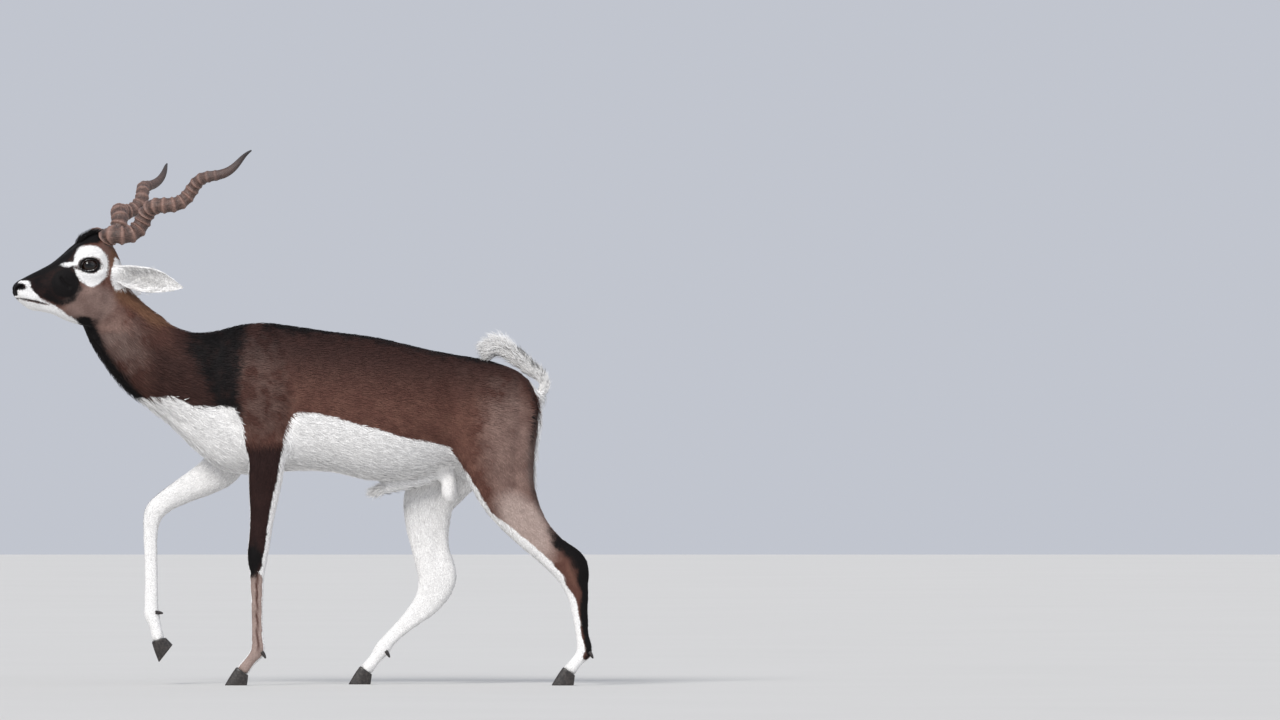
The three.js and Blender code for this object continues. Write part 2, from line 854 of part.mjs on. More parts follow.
const HORN = {
  base: new THREE.Vector3(-40, 20, 48),
  tip: new THREE.Vector3(-302, 235, 232),
  sink: 26, // how far the root starts inside the brow
  radius: 18.5,
  pitch: 125,
  swing: 15, // how far the line swings off its axis
  rings: 19,
  ringed: 0.8, // share of the horn that is ringed
  sides: 10,
};

function hornSolid(side) {
  const mirrored = (v) => new THREE.Vector3(v.x, v.y * side, v.z);
  const base = mirrored(HORN.base);
  const axis = mirrored(HORN.tip).sub(base);
  const length = axis.length();
  axis.normalize();
  const outward = new THREE.Vector3(0, side, 0);
  outward.addScaledVector(axis, -outward.dot(axis)).normalize();
  const front = new THREE.Vector3().crossVectors(axis, outward);
  front.multiplyScalar(Math.sign(front.x));
  const line = (s) => {
    const t = Math.max(s / length, 0);
    const phase = (2 * Math.PI * (s - 13)) / HORN.pitch;
    const swing =
      HORN.swing * (1 - 0.65 * t) * THREE.MathUtils.smoothstep(t, 0, 0.1);
    return base
      .clone()
      .addScaledVector(axis, s)
      .addScaledVector(front, swing * Math.cos(phase))
      .addScaledVector(outward, swing * Math.sin(phase));
  };
  const ringPitch = (HORN.ringed * length) / HORN.rings;
  const places = [-HORN.sink];
  for (let i = 0; i <= 2 * HORN.rings; i++) places.push((i * ringPitch) / 2);
  for (const t of [0.84, 0.89, 0.94, 0.98]) places.push(t * length);
  const rings = places.map((s) => {
    const t = Math.max(s / length, 0);
    const raised = s > 0 && t < HORN.ringed + 0.01;
    const wave = raised ? Math.cos((2 * Math.PI * s) / ringPitch) : 0;
    const taper = 1 - 0.42 * t - 0.5 * t ** 5;
    const size = HORN.radius * taper * (1 + 0.09 * wave * (1 - 0.6 * t));
    const heading = line(s + 1).sub(line(s - 1)).normalize();
    const over = front.clone().addScaledVector(heading, -front.dot(heading));
    over.normalize();
    const across = new THREE.Vector3().crossVectors(heading, over);
    const reach = { ahead: size, behind: size, out: size, inn: size };
    return headRing(ring(line(s), over, across, HORN.sides, reach));
  });
  const point = line(length).applyMatrix4(HEAD_FRAME);
  const tip = rings[rings.length - 1].map((p) =>
    p.clone().sub(point).multiplyScalar(0.08).add(point),
  );
  return solidThrough([...rings, tip]);
}

// Tail: raised and laid forward over the croup, with a brush of long white locks

const TAIL_LINE = new THREE.CatmullRomCurve3(
  [
    [490, 606],
    [508, 630],
    [510, 646],
    [500, 663],
    [470, 690],
    [436, 716],
    [416, 723],
    [396, 718],
  ].map(([x, z]) => new THREE.Vector3(x, 0, z)),
);
// Thickness of the fleshy part from root to tip, and the locks on it
const TAIL_CORE = [{ r: 8 }, { r: 8.5 }, { r: 10 }, { r: 11.5 }, { r: 7 }];
const TAIL_LOCKS = { rows: 5, around: 3, first: 0.3, last: 0.9, turn: 1.3 };

function tailSolid() {
  const rows = refined(TAIL_CORE, 3);
  const last = rows.length - 1;
  const core = rows.map(({ r }, i) => {
    const heading = TAIL_LINE.getTangentAt(i / last);
    const top = new THREE.Vector3().crossVectors(heading, ACROSS);
    const reach = { ahead: r, behind: r, out: r * 1.15, inn: r * 1.15 };
    return ring(TAIL_LINE.getPointAt(i / last), top, ACROSS, 10, reach);
  });
  const locks = [];
  for (let row = 0; row < TAIL_LOCKS.rows; row++) {
    for (let k = 0; k < TAIL_LOCKS.around; k++) {
      const along = (row + 0.5 * (k % 2)) / (TAIL_LOCKS.rows - 0.5);
      const t = THREE.MathUtils.lerp(TAIL_LOCKS.first, TAIL_LOCKS.last, along);
      const heading = TAIL_LINE.getTangentAt(t);
      const top = new THREE.Vector3().crossVectors(ACROSS, heading);
      const angle = (k - 1) * TAIL_LOCKS.turn;
      const out = top
        .multiplyScalar(Math.cos(angle))
        .addScaledVector(ACROSS, Math.sin(angle));
      const { r } = rows[Math.round(t * last)];
      locks.push(
        lock({
          root: TAIL_LINE.getPointAt(t).addScaledVector(out, r * 0.5),
          heading: heading.clone().addScaledVector(out, 0.3).normalize(),
          flat: out,
          fall: out.clone().multiplyScalar(-0.2),
          length: between(38, 44),
          width: between(17, 20),
          thick: 7,
        }),
      );
    }
  }
  return joined([solidThrough(core), ...locks]);
}

// Under the belly: the sheath with its tuft, and the scrotum

const SHEATH_LINE = [
  [284, 452, 13],
  [255, 440, 12.5],
  [215, 430, 11.5],
  [176, 422, 11],
  [148, 414, 10],
];

function sheathSolid() {
  const rings = SHEATH_LINE.map(([x, z, r]) =>
    ring(new THREE.Vector3(x, 0, z), UP, ACROSS, 12, {
      ahead: r * 1.2,
      behind: r,
      out: r,
      inn: r,
    }),
  );
  const locks = [];
  for (let i = 0; i < 6; i++) {
    const side = (i % 3) - 1;
    locks.push(
      lock({
        root: new THREE.Vector3(164 - 8 * (i > 2), side * 6, 414 - (i % 2)),
        heading: new THREE.Vector3(-0.75, side * 0.12, -0.55).normalize(),
        flat: new THREE.Vector3(-0.55, 0, 0.75).normalize(),
        fall: new THREE.Vector3(0.1, 0, -0.25),
        length: between(29, 35),
        width: between(10, 12),
        thick: 7,
      }),
    );
  }
  return joined([solidThrough(rings), ...locks]);
}

function scrotumSolid() {
  const profile = [
    [0, 474, 15, 14],
    [0, 452, 15, 16],
    [1, 430, 17, 21],
    [2, 410, 17.5, 22.5],
    [3, 396, 13, 17],
  ];
  const rings = profile.map(([x, z, long, half]) =>
    ring(
      new THREE.Vector3(307 + x, 0, z),
      new THREE.Vector3(1, 0, 0),
      ACROSS,
      12,
      { ahead: long, behind: long, out: half, inn: half },
    ),
  );
  const away = UP.clone().negate();
  return solidThrough([...rings, ...dome(rings[rings.length - 1], away, 7)]);
}

// Assembly

const grownLegs = LEGS.map((leg) => legSolid(leg, GROWTH));
const grownHead = headLoft(GROWTH);
const grownTorso = torsoSolid(GROWTH);

// The neck and barrel are made whole, and parted by a thin cut from the withers to the breast.
const CUT_TOP = new THREE.Vector3(-152, 0, WITHERS - 4);
const CUT_LOW = new THREE.Vector3(-262, 0, 515);
const forwards = new THREE.Vector3().crossVectors(
  CUT_TOP.clone().sub(CUT_LOW),
  ACROSS,
);
const backwards = forwards.clone().negate();
const halfGap = forwards.clone().setLength(GAP / 2);
const trunk = joined([torsoSolid(), neckSolid()]);
const torso = trunk.intersect(halfSpace(CUT_TOP.clone().sub(halfGap), forwards));
const neck = trunk.intersect(halfSpace(CUT_TOP.clone().add(halfGap), backwards));
place("torso", cutBy(torso, grownLegs), "brown_coat");
place("neck", cutBy(neck, [...grownLegs, grownHead]), "dark_neck");
place("head", headSolid(), "dark_face");

const SIDES = [
  ["left", 1],
  ["right", -1],
];
for (const [name, side] of SIDES) {
  const grownNeck = neckSolid(GROWTH);
  place(`ear_${name}`, cutBy(earSolid(side), [grownHead, grownNeck]), "white_coat");
  place(`eye_${name}`, eyeball(side, EYE.radius), "eye");
  place(`horn_${name}`, cutBy(hornSolid(side), [grownHead]), "horn");
}

place("tail", cutBy(tailSolid(), [grownTorso, ...grownLegs]), "white_coat");
place("sheath", cutBy(sheathSolid(), [grownTorso, ...grownLegs]), "white_coat");
place("scrotum", cutBy(scrotumSolid(), [grownTorso, ...grownLegs]), "bare_skin");

const LEG_LOOKS = {
  shoulder: "brown_coat",
  forearm: "dark_neck",
  haunch: "grey_haunch",
  shank: "grey_haunch",
};
for (const leg of LEGS) {
  for (const { name, solid } of legPieces(leg)) {
    const whole = name.endsWith("pastern")
      ? joined([solid, ...dewclaws(leg)])
      : solid;
    place(`${name}_${leg.end}`, whole, LEG_LOOKS[name] ?? "white_coat");
  }
  for (const inner of [false, true]) {
    const hand = inner ? "inner" : "outer";
    place(`${leg.kind}_hoof_${leg.end}_${hand}`, clawSolid(leg, inner), "hoof");
  }
}

// The origin goes under the middle of the model's box
const box = new THREE.Box3().setFromObject(model);
const middle = box.getCenter(new THREE.Vector3());
model.position.set(-middle.x, -middle.y, -box.min.z);

export default model;
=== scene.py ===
import bmesh
import bpy
import numpy as np
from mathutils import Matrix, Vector


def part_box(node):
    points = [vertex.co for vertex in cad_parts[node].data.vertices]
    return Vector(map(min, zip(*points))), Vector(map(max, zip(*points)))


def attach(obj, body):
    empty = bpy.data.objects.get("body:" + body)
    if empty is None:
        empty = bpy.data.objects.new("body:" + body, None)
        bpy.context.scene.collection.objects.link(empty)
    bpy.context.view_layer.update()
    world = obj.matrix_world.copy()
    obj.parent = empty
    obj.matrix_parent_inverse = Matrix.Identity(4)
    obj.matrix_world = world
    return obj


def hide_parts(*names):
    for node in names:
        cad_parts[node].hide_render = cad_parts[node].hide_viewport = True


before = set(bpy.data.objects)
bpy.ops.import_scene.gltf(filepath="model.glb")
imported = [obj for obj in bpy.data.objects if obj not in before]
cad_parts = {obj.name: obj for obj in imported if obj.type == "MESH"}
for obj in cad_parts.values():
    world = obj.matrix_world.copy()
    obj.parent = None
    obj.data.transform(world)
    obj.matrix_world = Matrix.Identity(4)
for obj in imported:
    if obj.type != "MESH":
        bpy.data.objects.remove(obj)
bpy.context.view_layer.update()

# Barrel: the trunk from the breast to the buttocks.
# Flesh over ribs, under a coat some 15 mm long that lies flat. The form is the naked body, so each
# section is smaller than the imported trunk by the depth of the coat.
X, Y, Z = np.eye(3)[:, None]
ROUND = np.array([[2.0, 2.0]])  # powers of a plain oval


def refined(table, steps):
    """Rows between the rows of a table. Each size follows a cubic through its values whose slope
    at a row is half the step from the row before to the row after."""
    table = np.asarray(table, float)
    last = len(table) - 1
    at = np.linspace(0, last, last * steps + 1)
    k = np.minimum(at.astype(int), last - 1)
    t = (at - k)[:, None]
    p0, p1 = table[np.maximum(k - 1, 0)], table[k]
    p2, p3 = table[k + 1], table[np.minimum(k + 2, last)]
    return (
        p1 * (1 + 2 * t) * (1 - t) ** 2
        + p2 * (3 - 2 * t) * t**2
        + (p2 - p0) / 2 * t * (1 - t) ** 2
        + (p3 - p1) / 2 * (t - 1) * t**2
    )


def unit(v):
    """Vectors over their own lengths."""
    return v / np.maximum(np.linalg.norm(v, axis=-1, keepdims=True), 1e-9)


def rings(centre, axis, across, reach, powers=ROUND, sides=64):
    """Superellipse rings. The point at angle a goes sgn(cos a)|cos a|^(2/p) of the reach along the
    axis and the same share of sin a across it. Reach holds ahead, behind, out and in."""
    a = np.linspace(0, 2 * np.pi, sides, endpoint=False)
    c, s = np.cos(a), np.sin(a)
    p = np.where(c > 0, powers[:, :1], powers[:, 1:2])
    along = np.sign(c) * np.abs(c) ** (2 / p) * np.where(c > 0, reach[:, :1], reach[:, 1:2])
    over = np.sign(s) * np.abs(s) ** (2 / p) * np.where(s > 0, reach[:, 2:3], reach[:, 3:4])
    return centre[:, None] + along[..., None] * axis[:, None] + over[..., None] * across[:, None]


def domed(grid, end, length):
    """The rings with a rounded end: four more rings at shares u of the length, each the last one
    shrunk about its middle to the root of 1 - u squared."""
    last = grid[-1] if end else grid[0]
    middle = last.mean(0)
    u = np.array([0.4, 0.7, 0.9, 0.985])[:, None, None]
    cap = (last - middle) * np.sqrt(1 - u**2) + middle + u * np.asarray(length)
    return np.concatenate([grid, cap]) if end else np.concatenate([cap[::-1], grid])


def shell(grid):
    """Points and faces of a closed tube over a grid of rings, with a fan on each end."""
    rows, sides = grid.shape[:2]
    count = rows * sides
    points = np.concatenate([grid.reshape(-1, 3), grid[:1].mean(1), grid[-1:].mean(1)])
    i = np.arange(count).reshape(rows, sides)
    j = np.roll(i, -1, 1)
    quads = np.stack([i[:-1], j[:-1], j[1:], i[1:]], -1).reshape(-1, 4)
    first = np.stack([i[0], np.roll(i[0], 1), np.full(sides, count)], -1)
    last = np.stack([i[-1], j[-1], np.full(sides, count + 1)], -1)
    return points, quads, np.concatenate([first, last])


def upright(table, coat, sides=96):
    """Upright rings from rows of place, outline above and below, half width, share of the height
    under the widest place, and roundness above and below, all smaller by the depth of a coat."""
    row = refined(table, 8)
    height = row[:, 1] - row[:, 2]
    line = np.stack([row[:, 0], 0 * height, row[:, 2] + height * row[:, 4]], 1)
    reach = np.stack([height * (1 - row[:, 4]), height * row[:, 4], row[:, 3], row[:, 3]], 1)
    return rings(line, Z, Y, np.maximum(reach - coat, 2), row[:, 5:7], sides)


COAT_DEPTH = 5.0  # how far the coat stands on the trunk
# Place along the body, outline above and below, half width, share of the height under the widest
# place, and roundness above and below
BARREL = [
    (-249, 655, 525, 40, 0.50, 2.0, 2.0),
    (-217, 715, 482, 62, 0.50, 2.0, 2.0),
    (-185, 750, 460, 76, 0.48, 1.9, 2.0),
    (-142, 775, 449, 86, 0.46, 1.8, 2.0),
    (-95, 784, 448, 92, 0.45, 1.8, 2.0),
    (-34, 777, 455, 100, 0.47, 1.9, 2.1),
    (52, 763, 454, 110, 0.48, 2.0, 2.2),
    (133, 754, 437, 114, 0.49, 2.1, 2.2),
    (202, 739, 436, 111, 0.50, 2.2, 2.1),
    (267, 723, 447, 100, 0.54, 2.2, 2.0),
    (331, 712, 470, 90, 0.60, 2.2, 2.0),
    (396, 701, 500, 84, 0.60, 2.2, 2.0),
    (449, 682, 512, 72, 0.60, 2.1, 2.0),
    (480, 660, 525, 54, 0.60, 2.0, 2.0),
    (495, 634, 548, 34, 0.58, 2.0, 2.0),
]
barrel = upright(BARREL, COAT_DEPTH)
flesh = [shell(domed(domed(barrel, False, (-14, 0, 0)), True, (4, 0, 0)))]

# Neck: a slim, slightly flattened column that rises from the breast to behind the jaw.
# Flesh under a coat a little longer than the barrel's, thickest at the throat.
# Nape point, throat point, half width and how far the neck bends to the left
NECK = [
    (-398, 872, -482, 772, 42, -9),
    (-361, 851, -464, 729, 49, -5),
    (-322, 811, -432, 679, 52, -2),
    (-286, 776, -396, 632, 55, 0),
    (-239, 759, -346, 593, 61, 0),
    (-181, 765, -292, 553, 70, 0),
    (-125, 781, -245, 503, 80, 0),
    (-80, 770, -205, 480, 78, 0),
]
row = refined(NECK, 12)
nape = np.stack([row[:, 0], row[:, 5], row[:, 1]], 1)
throat = np.stack([row[:, 2], row[:, 5], row[:, 3]], 1)
half_height = np.linalg.norm(nape - throat, axis=1) / 2
neck_line = (nape + throat) / 2
reach = np.stack([half_height, half_height, row[:, 4], row[:, 4]], 1)
neck = rings(neck_line, unit(nape - throat), Y, reach - COAT_DEPTH, sides=80)
flesh.append(shell(domed(neck, False, (-16, -2.5, 19))))

# Legs: long and dry, all bone and sinew under short hair below the elbow and stifle.
# Three stand, and the right foreleg swings forward with its foot off the floor.
# Place along the body, height, distance from the middle, and reach ahead, behind, out and in
FETLOCK = 74  # height of the lowest joint over the sole of a standing foot
PASTERN = np.array(
    [(-10, -15, 0, 14, 15, 16, 16), (-22, -31, 0, 15, 14.5, 17, 17), (-33, -46, 0, 17, 15.5, 18.5, 18.5)]
)
LEGS = {
    "fore_left": dict(side=-1, flex=0.0, powers=(2, 2), rows=[
        (-88, 728, 50, 36, 44, 22, 14),
        (-100, 680, 62, 54, 64, 29, 20),
        (-103, 620, 71, 66, 76, 34, 24),
        (-92, 565, 75, 55, 65, 34, 26),
        (-83, 515, 76, 47, 51, 30, 27),
        (-83, 470, 76, 42, 44, 27, 26),
        (-87, 415, 74, 36, 37, 23, 23),
        (-93, 355, 72, 27, 29, 20, 20),
        (-98, 300, 70, 25, 25, 18.5, 18.5),
        (-101, 268, 69, 23, 22, 18.5, 18.5),
        (-104, 228, 68, 16, 19, 14.5, 14.5),
        (-104, 170, 67, 13.5, 17, 12.5, 12.5),
        (-103, 112, 66, 13.5, 16, 12.5, 12.5),
        (-102, FETLOCK, 66, 15.5, 18.5, 15.5, 15.5),
    ]),
    "fore_right": dict(side=1, flex=np.radians(52), powers=(2, 2), rows=[
        (-88, 728, 50, 36, 44, 22, 14),
        (-108, 680, 62, 54, 64, 29, 20),
        (-126, 622, 71, 64, 76, 34, 24),
        (-141, 568, 75, 56, 64, 34, 26),
        (-158, 515, 76, 47, 52, 30, 27),
        (-178, 468, 75, 47, 45, 27, 26),
        (-213, 440, 74, 41, 36, 24, 24),
        (-255, 418, 72, 33, 29, 21, 21),
        (-297, 396, 70, 25, 25, 19, 19),
        (-325, 370, 69, 22, 23, 18.5, 18.5),
        (-333, 330, 68, 18, 17, 14.5, 14.5),
        (-333, 278, 68, 16, 16, 12.5, 12.5),
        (-332, 222, 67, 16, 16, 12.5, 12.5),
        (-332, 174, 66, 17, 17, 13, 13),
        (-331, 148, 66, 18, 19, 15.5, 15.5),
    ]),
    "hind_left": dict(side=-1, flex=0.0, powers=(2.2, 2.7), rows=[
        (400, 662, 44, 58, 66, 38, 22),
        (408, 618, 48, 84, 95, 50, 40),
        (403, 558, 53, 98, 107, 55, 44),
        (411, 500, 57, 88, 93, 52, 42),
        (422, 446, 60, 74, 77, 44, 36),
        (447, 391, 64, 63, 57, 36, 32),
        (482, 334, 67, 45, 44, 28, 27),
        (522, 288, 70, 34, 41, 23, 22),
        (562, 247, 72, 32, 49, 21, 21),
        (580, 205, 73, 25, 30, 17, 17),
        (586, 160, 74, 17, 23, 14, 14),
        (592, 112, 75, 15, 18.5, 13, 13),
        (598, FETLOCK, 75, 17, 20, 16.5, 16.5),
    ]),
    "hind_right": dict(side=1, flex=0.0, powers=(2.2, 2.7), rows=[
        (400, 662, 44, 58, 66, 38, 22),
        (394, 618, 48, 88, 92, 50, 40),
        (370, 560, 53, 96, 98, 53, 43),
        (334, 502, 57, 82, 86, 48, 40),
        (296, 450, 62, 66, 72, 41, 35),
        (266, 400, 66, 59, 60, 35, 32),
        (261, 345, 69, 50, 51, 29, 28),
        (266, 288, 72, 40, 44, 24, 23),
        (276, 229, 74, 37, 49, 21, 21),
        (259, 183, 75, 27, 38, 17.5, 17.5),
        (231, 150, 75, 20, 27, 15, 15),
        (200, 119, 75, 16, 20, 13.5, 13.5),
        (176, 94, 75, 15.5, 18.5, 14.5, 14.5),
        (161, FETLOCK, 75, 17, 19.5, 16.5, 16.5),
    ]),
}
LEG_COAT = 1.2  # how far the hair stands below the knee
LEG_STEPS = 8


def turned_back(x, z, flex):
    """A point of the foot, given from the fetlock, after the foot has been flexed back."""
    return np.cos(flex) * x - np.sin(flex) * z, np.sin(flex) * x + np.cos(flex) * z


for leg in LEGS.values():
    stations = np.array(leg["rows"], float)
    foot = PASTERN.copy()
    foot[:, 0], foot[:, 1] = turned_back(foot[:, 0], foot[:, 1], leg["flex"])
    foot[:, :3] += stations[-1, :3]
    row = refined(np.concatenate([stations, foot]), LEG_STEPS)
    line = np.stack([row[:, 0], leg["side"] * row[:, 2], row[:, 1]], 1)
    heading = unit(np.gradient(line, axis=0))
    across = unit(leg["side"] * (Y - heading[:, 1:2] * heading))
    ahead = leg["side"] * np.cross(across, heading)
    place = np.linspace(0, len(stations) + len(foot) - 1, len(row))
    reach = row[:, 3:7] - np.interp(place, [3, 8], [COAT_DEPTH, LEG_COAT])[:, None]
    leg.update(line=line, heading=heading, across=across, ahead=ahead, place=place, reach=reach)
    leg["fetlock"] = stations[-1]
    grid = rings(line, ahead, across, reach, np.array([leg["powers"]]), 48)
    flesh.append(shell(domed(grid, False, -20 * heading[0])))

# Head: a long wedge with flat cheeks, a deep jaw and eyes that stand out at the sides.
# Its own axes run forwards from between the eyes, to the buck's left, and up.
EYE_MIDDLE = np.array([0.0, 35.5, 0.0])  # left eye, from the middle of the head
HEAD_AT = np.array([-477.0, -40.0, 897.0])  # midway between the eyes
YAW, ROLL = np.radians(204), np.radians(3)
HEAD_TURN = np.array(
    [
        [np.cos(YAW), -np.sin(YAW) * np.cos(ROLL), np.sin(YAW) * np.sin(ROLL)],
        [np.sin(YAW), np.cos(YAW) * np.cos(ROLL), -np.cos(YAW) * np.sin(ROLL)],
        [0.0, np.sin(ROLL), np.cos(ROLL)],
    ]
)
# Place, outline above and below, half width, share under the widest place, roundness
HEAD = [
    (158, -38, -63, 15, 0.55, 2.6, 2.4),
    (150, -30, -74, 20, 0.56, 2.6, 2.3),
    (136, -23, -86, 21.5, 0.56, 2.5, 2.1),
    (120, -15, -95, 22, 0.54, 2.4, 2.0),
    (96, -4, -98, 24, 0.52, 2.4, 2.0),
    (70, 9, -104, 30, 0.55, 2.4, 1.9),
    (46, 26, -115, 38, 0.60, 2.4, 1.8),
    (22, 45, -123, 47, 0.66, 2.4, 1.7),
    (-2, 61, -128, 51, 0.67, 2.4, 1.7),
    (-26, 68, -127, 51, 0.64, 2.4, 1.8),
    (-46, 64, -115, 49, 0.58, 2.3, 1.9),
    (-65, 50, -96, 46, 0.54, 2.2, 2.0),
    (-81, 30, -74, 38, 0.52, 2.1, 2.0),
]
FACE_COAT = 1.0  # how far the hair stands on the face


def on_head(p):
    """Points given on the head's own axes, in the body's."""
    return p @ HEAD_TURN.T + HEAD_AT


def from_head(p):
    """Points of the body on the head's own axes."""
    return (p - HEAD_AT) @ HEAD_TURN


head = upright(HEAD, FACE_COAT)
flesh.append(shell(on_head(domed(domed(head, False, (3.5, 0, 0)), True, (-12, 0, 0)))))

# The eyes stand out as balls under thick lids
EYE_RADIUS = 18.5
LID = 2.6  # thickness of the lids over the ball


def eye_shell(side, radius, count=32):
    """A sphere about the middle of an eye: rings from pole to pole."""
    turn = np.linspace(0.06, np.pi - 0.06, count)
    line = np.stack([0 * turn, 0 * turn, np.cos(turn)], 1) * radius + EYE_MIDDLE * (1, side, 1)
    wide = (np.sin(turn) * radius)[:, None] * np.ones((1, 4))
    return shell(on_head(rings(line, X, Y, wide, sides=2 * count)))


flesh += [eye_shell(side, EYE_RADIUS + LID) for side in (-1, 1)]

# Tail, sheath and scrotum: the small soft parts that close the body's outline.
# Each is a line of rings under thin skin; the hair that fills them out comes with the coat.
TAIL = [(490, 606), (508, 630), (510, 646), (500, 663), (470, 690), (436, 716), (416, 723), (396, 718)]
tail_line = refined([(x, 0, z) for x, z in TAIL], 8)
tail_heading = unit(np.gradient(tail_line, axis=0))
tail_top = np.cross(tail_heading, Y)
share = np.linspace(0, 1, len(tail_line))
thick = np.interp(share, [0, 0.5, 0.85, 1], [8, 8.5, 7, 4])[:, None]
tail = rings(tail_line, tail_top, Y, thick * [[1, 1, 1.15, 1.15]], sides=24)
flesh.append(shell(domed(tail, True, 4 * tail_heading[-1])))

# Place, height and half width of the sheath
SHEATH = [(284, 452, 13), (255, 440, 12.5), (215, 430, 11.5), (176, 422, 11), (154, 416, 9)]
row = refined(SHEATH, 6)
line = np.stack([row[:, 0], 0 * row[:, 0], row[:, 1]], 1)
sheath = rings(line, Z, Y, row[:, 2:3] * [[1.1, 0.9, 0.9, 0.9]], sides=32)
flesh.append(shell(domed(sheath, True, (-6, 0, -2))))

# Place, height and half widths along and across of the scrotum
SCROTUM = [(307, 474, 15, 14), (307, 452, 15, 16), (308, 430, 17, 21), (309, 410, 17.5, 22.5)]
SCROTUM += [(310, 396, 13, 17)]
row = refined(SCROTUM, 6)
line = np.stack([row[:, 0], 0 * row[:, 0], row[:, 1]], 1)
scrotum = rings(line, X, Y, row[:, [2, 2, 3, 3]] - 1, sides=40)
flesh.append(shell(domed(scrotum, True, (0, 0, -6))))

# Skin: one closed surface over all the flesh, made by filling the forms with small cells.
# The cells are finer on the head, which is swollen about its middle before and shrunk back after.
HEAD_CORE = on_head(np.array([40.0, 0, -25.0]))
CELL = 7.3
SWELL = 3.4  # how many times the head is swollen
SWELL_FULL, SWELL_END = 135, 225  # distances from its middle up to which it swells fully, and at all
eye_low, eye_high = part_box("eye_left")
SHIFT = np.array((eye_low + eye_high) / 2) * 1000 - on_head(EYE_MIDDLE)


def step(x, low, high):
    """A smooth rise from 0 at low to 1 at high."""
    t = np.clip((x - low) / (high - low), 0, 1)
    return t * t * (3 - 2 * t)


def metres(points):
    """Points in millimetres on the body's axes as the numbers that a mesh keeps."""
    return ((points + SHIFT) / 1000).astype(np.float32).ravel()


def mesh_of(name, points, faces):
    """A mesh from points in millimetres and arrays of faces, moved to its place in metres."""
    sizes = np.concatenate([np.full(len(f), f.shape[1]) for f in faces])
    loops = np.concatenate([f.ravel() for f in faces])
    mesh = bpy.data.meshes.new(name)
    mesh.vertices.add(len(points))
    mesh.loops.add(len(loops))
    mesh.polygons.add(len(sizes))
    mesh.vertices.foreach_set("co", metres(points))
    mesh.loops.foreach_set("vertex_index", loops.astype(np.int32))
    mesh.polygons.foreach_set("loop_start", (np.cumsum(sizes) - sizes).astype(np.int32))
    mesh.update(calc_edges=True)
    mesh.validate()
    mesh.shade_smooth()
    return mesh


def joined(shells):
    """One set of points and faces from several shells."""
    starts = np.cumsum([0] + [len(s[0]) for s in shells])
    faces = [np.concatenate([s[kind] + start for s, start in zip(shells, starts)]) for kind in (1, 2)]
    return np.concatenate([s[0] for s in shells]), faces


def placed(name, data):
    """An object in the scene."""
    made = bpy.data.objects.new(name, data)
    bpy.context.scene.collection.objects.link(made)
    return made


def worked_out(piece):
    """The mesh that an object's modifiers make. The object itself is removed."""
    depsgraph = bpy.context.evaluated_depsgraph_get()
    made = bpy.data.meshes.new_from_object(piece.evaluated_get(depsgraph))
    bpy.data.objects.remove(piece)
    return made


def rescaled(points, source, target):
    """Points moved along the line from the middle of the head, so that a distance in the source
    list becomes the one beside it in the target list."""
    away = points - HEAD_CORE
    r = np.linalg.norm(away, axis=1, keepdims=True)
    return HEAD_CORE + away * np.interp(r, source, target) / np.maximum(r, 1e-6)


def read(items, key, width, kind=np.float32):
    """Rows of numbers that a mesh keeps."""
    flat = np.empty(width * len(items), kind)
    items.foreach_get(key, flat)
    return flat.reshape(-1, width)


def points_of(mesh):
    """A mesh's points in millimetres on the body's axes."""
    return read(mesh.vertices, "co", 3).astype(float) * 1000 - SHIFT


def edges_of(mesh):
    """The two ends of each edge."""
    return read(mesh.edges, "vertices", 2, np.int32)


def normals_of(mesh):
    """A mesh's normals at its points."""
    return read(mesh.vertex_normals, "vector", 3).astype(float)


def settle(mesh, points):
    """Puts points given in millimetres into a mesh."""
    mesh.vertices.foreach_set("co", metres(points))
    mesh.update()


def relaxed(points, edges, strength, rounds):
    """Points moved towards the mean of their neighbours by a share of the way, round by round.
    Only the points with a share above a hundredth move."""
    a, b = np.concatenate([edges, edges[:, ::-1]]).T
    a, b = a[strength[a] > 0.01], b[strength[a] > 0.01]
    moving, a = np.unique(a, return_inverse=True)
    count = np.bincount(a)[:, None]
    share = strength[moving, None]
    points = points.copy()
    for _ in range(rounds):
        mean = np.stack([np.bincount(a, p[b]) for p in points.T], 1) / count
        points[moving] += share * (mean - points[moving])
    return points


def gaps(a, b, points):
    """The squares of the distances of points from the straight length between two others."""
    t = np.clip((points - a) @ (b - a) / max((b - a) @ (b - a), 1e-9), 0, 1)
    return ((points - a - t[:, None] * (b - a)) ** 2).sum(1)


def near(path, points, width):
    """How near each point is to a path of straight lengths: e to the power of minus the square of
    its distance over the width."""
    path = np.asarray(path, float)
    best = np.minimum.reduce([gaps(a, b, points) for a, b in zip(path[:-1], path[1:])])
    return np.exp(-best / width**2)


def nearest(line, points):
    """For each point, the index of the nearest point of a line."""
    return ((line**2).sum(1) - 2 * points @ line.T).argmin(1)


def from_tail(points):
    """The nearest place on the line of the tail, how points lie from it, and how far."""
    k = nearest(tail_line, points)
    away = points - tail_line[k]
    return k, away, np.linalg.norm(away, axis=1)


def from_core(points):
    """How far points are from the middle of the head."""
    return np.linalg.norm(points - HEAD_CORE, axis=1)


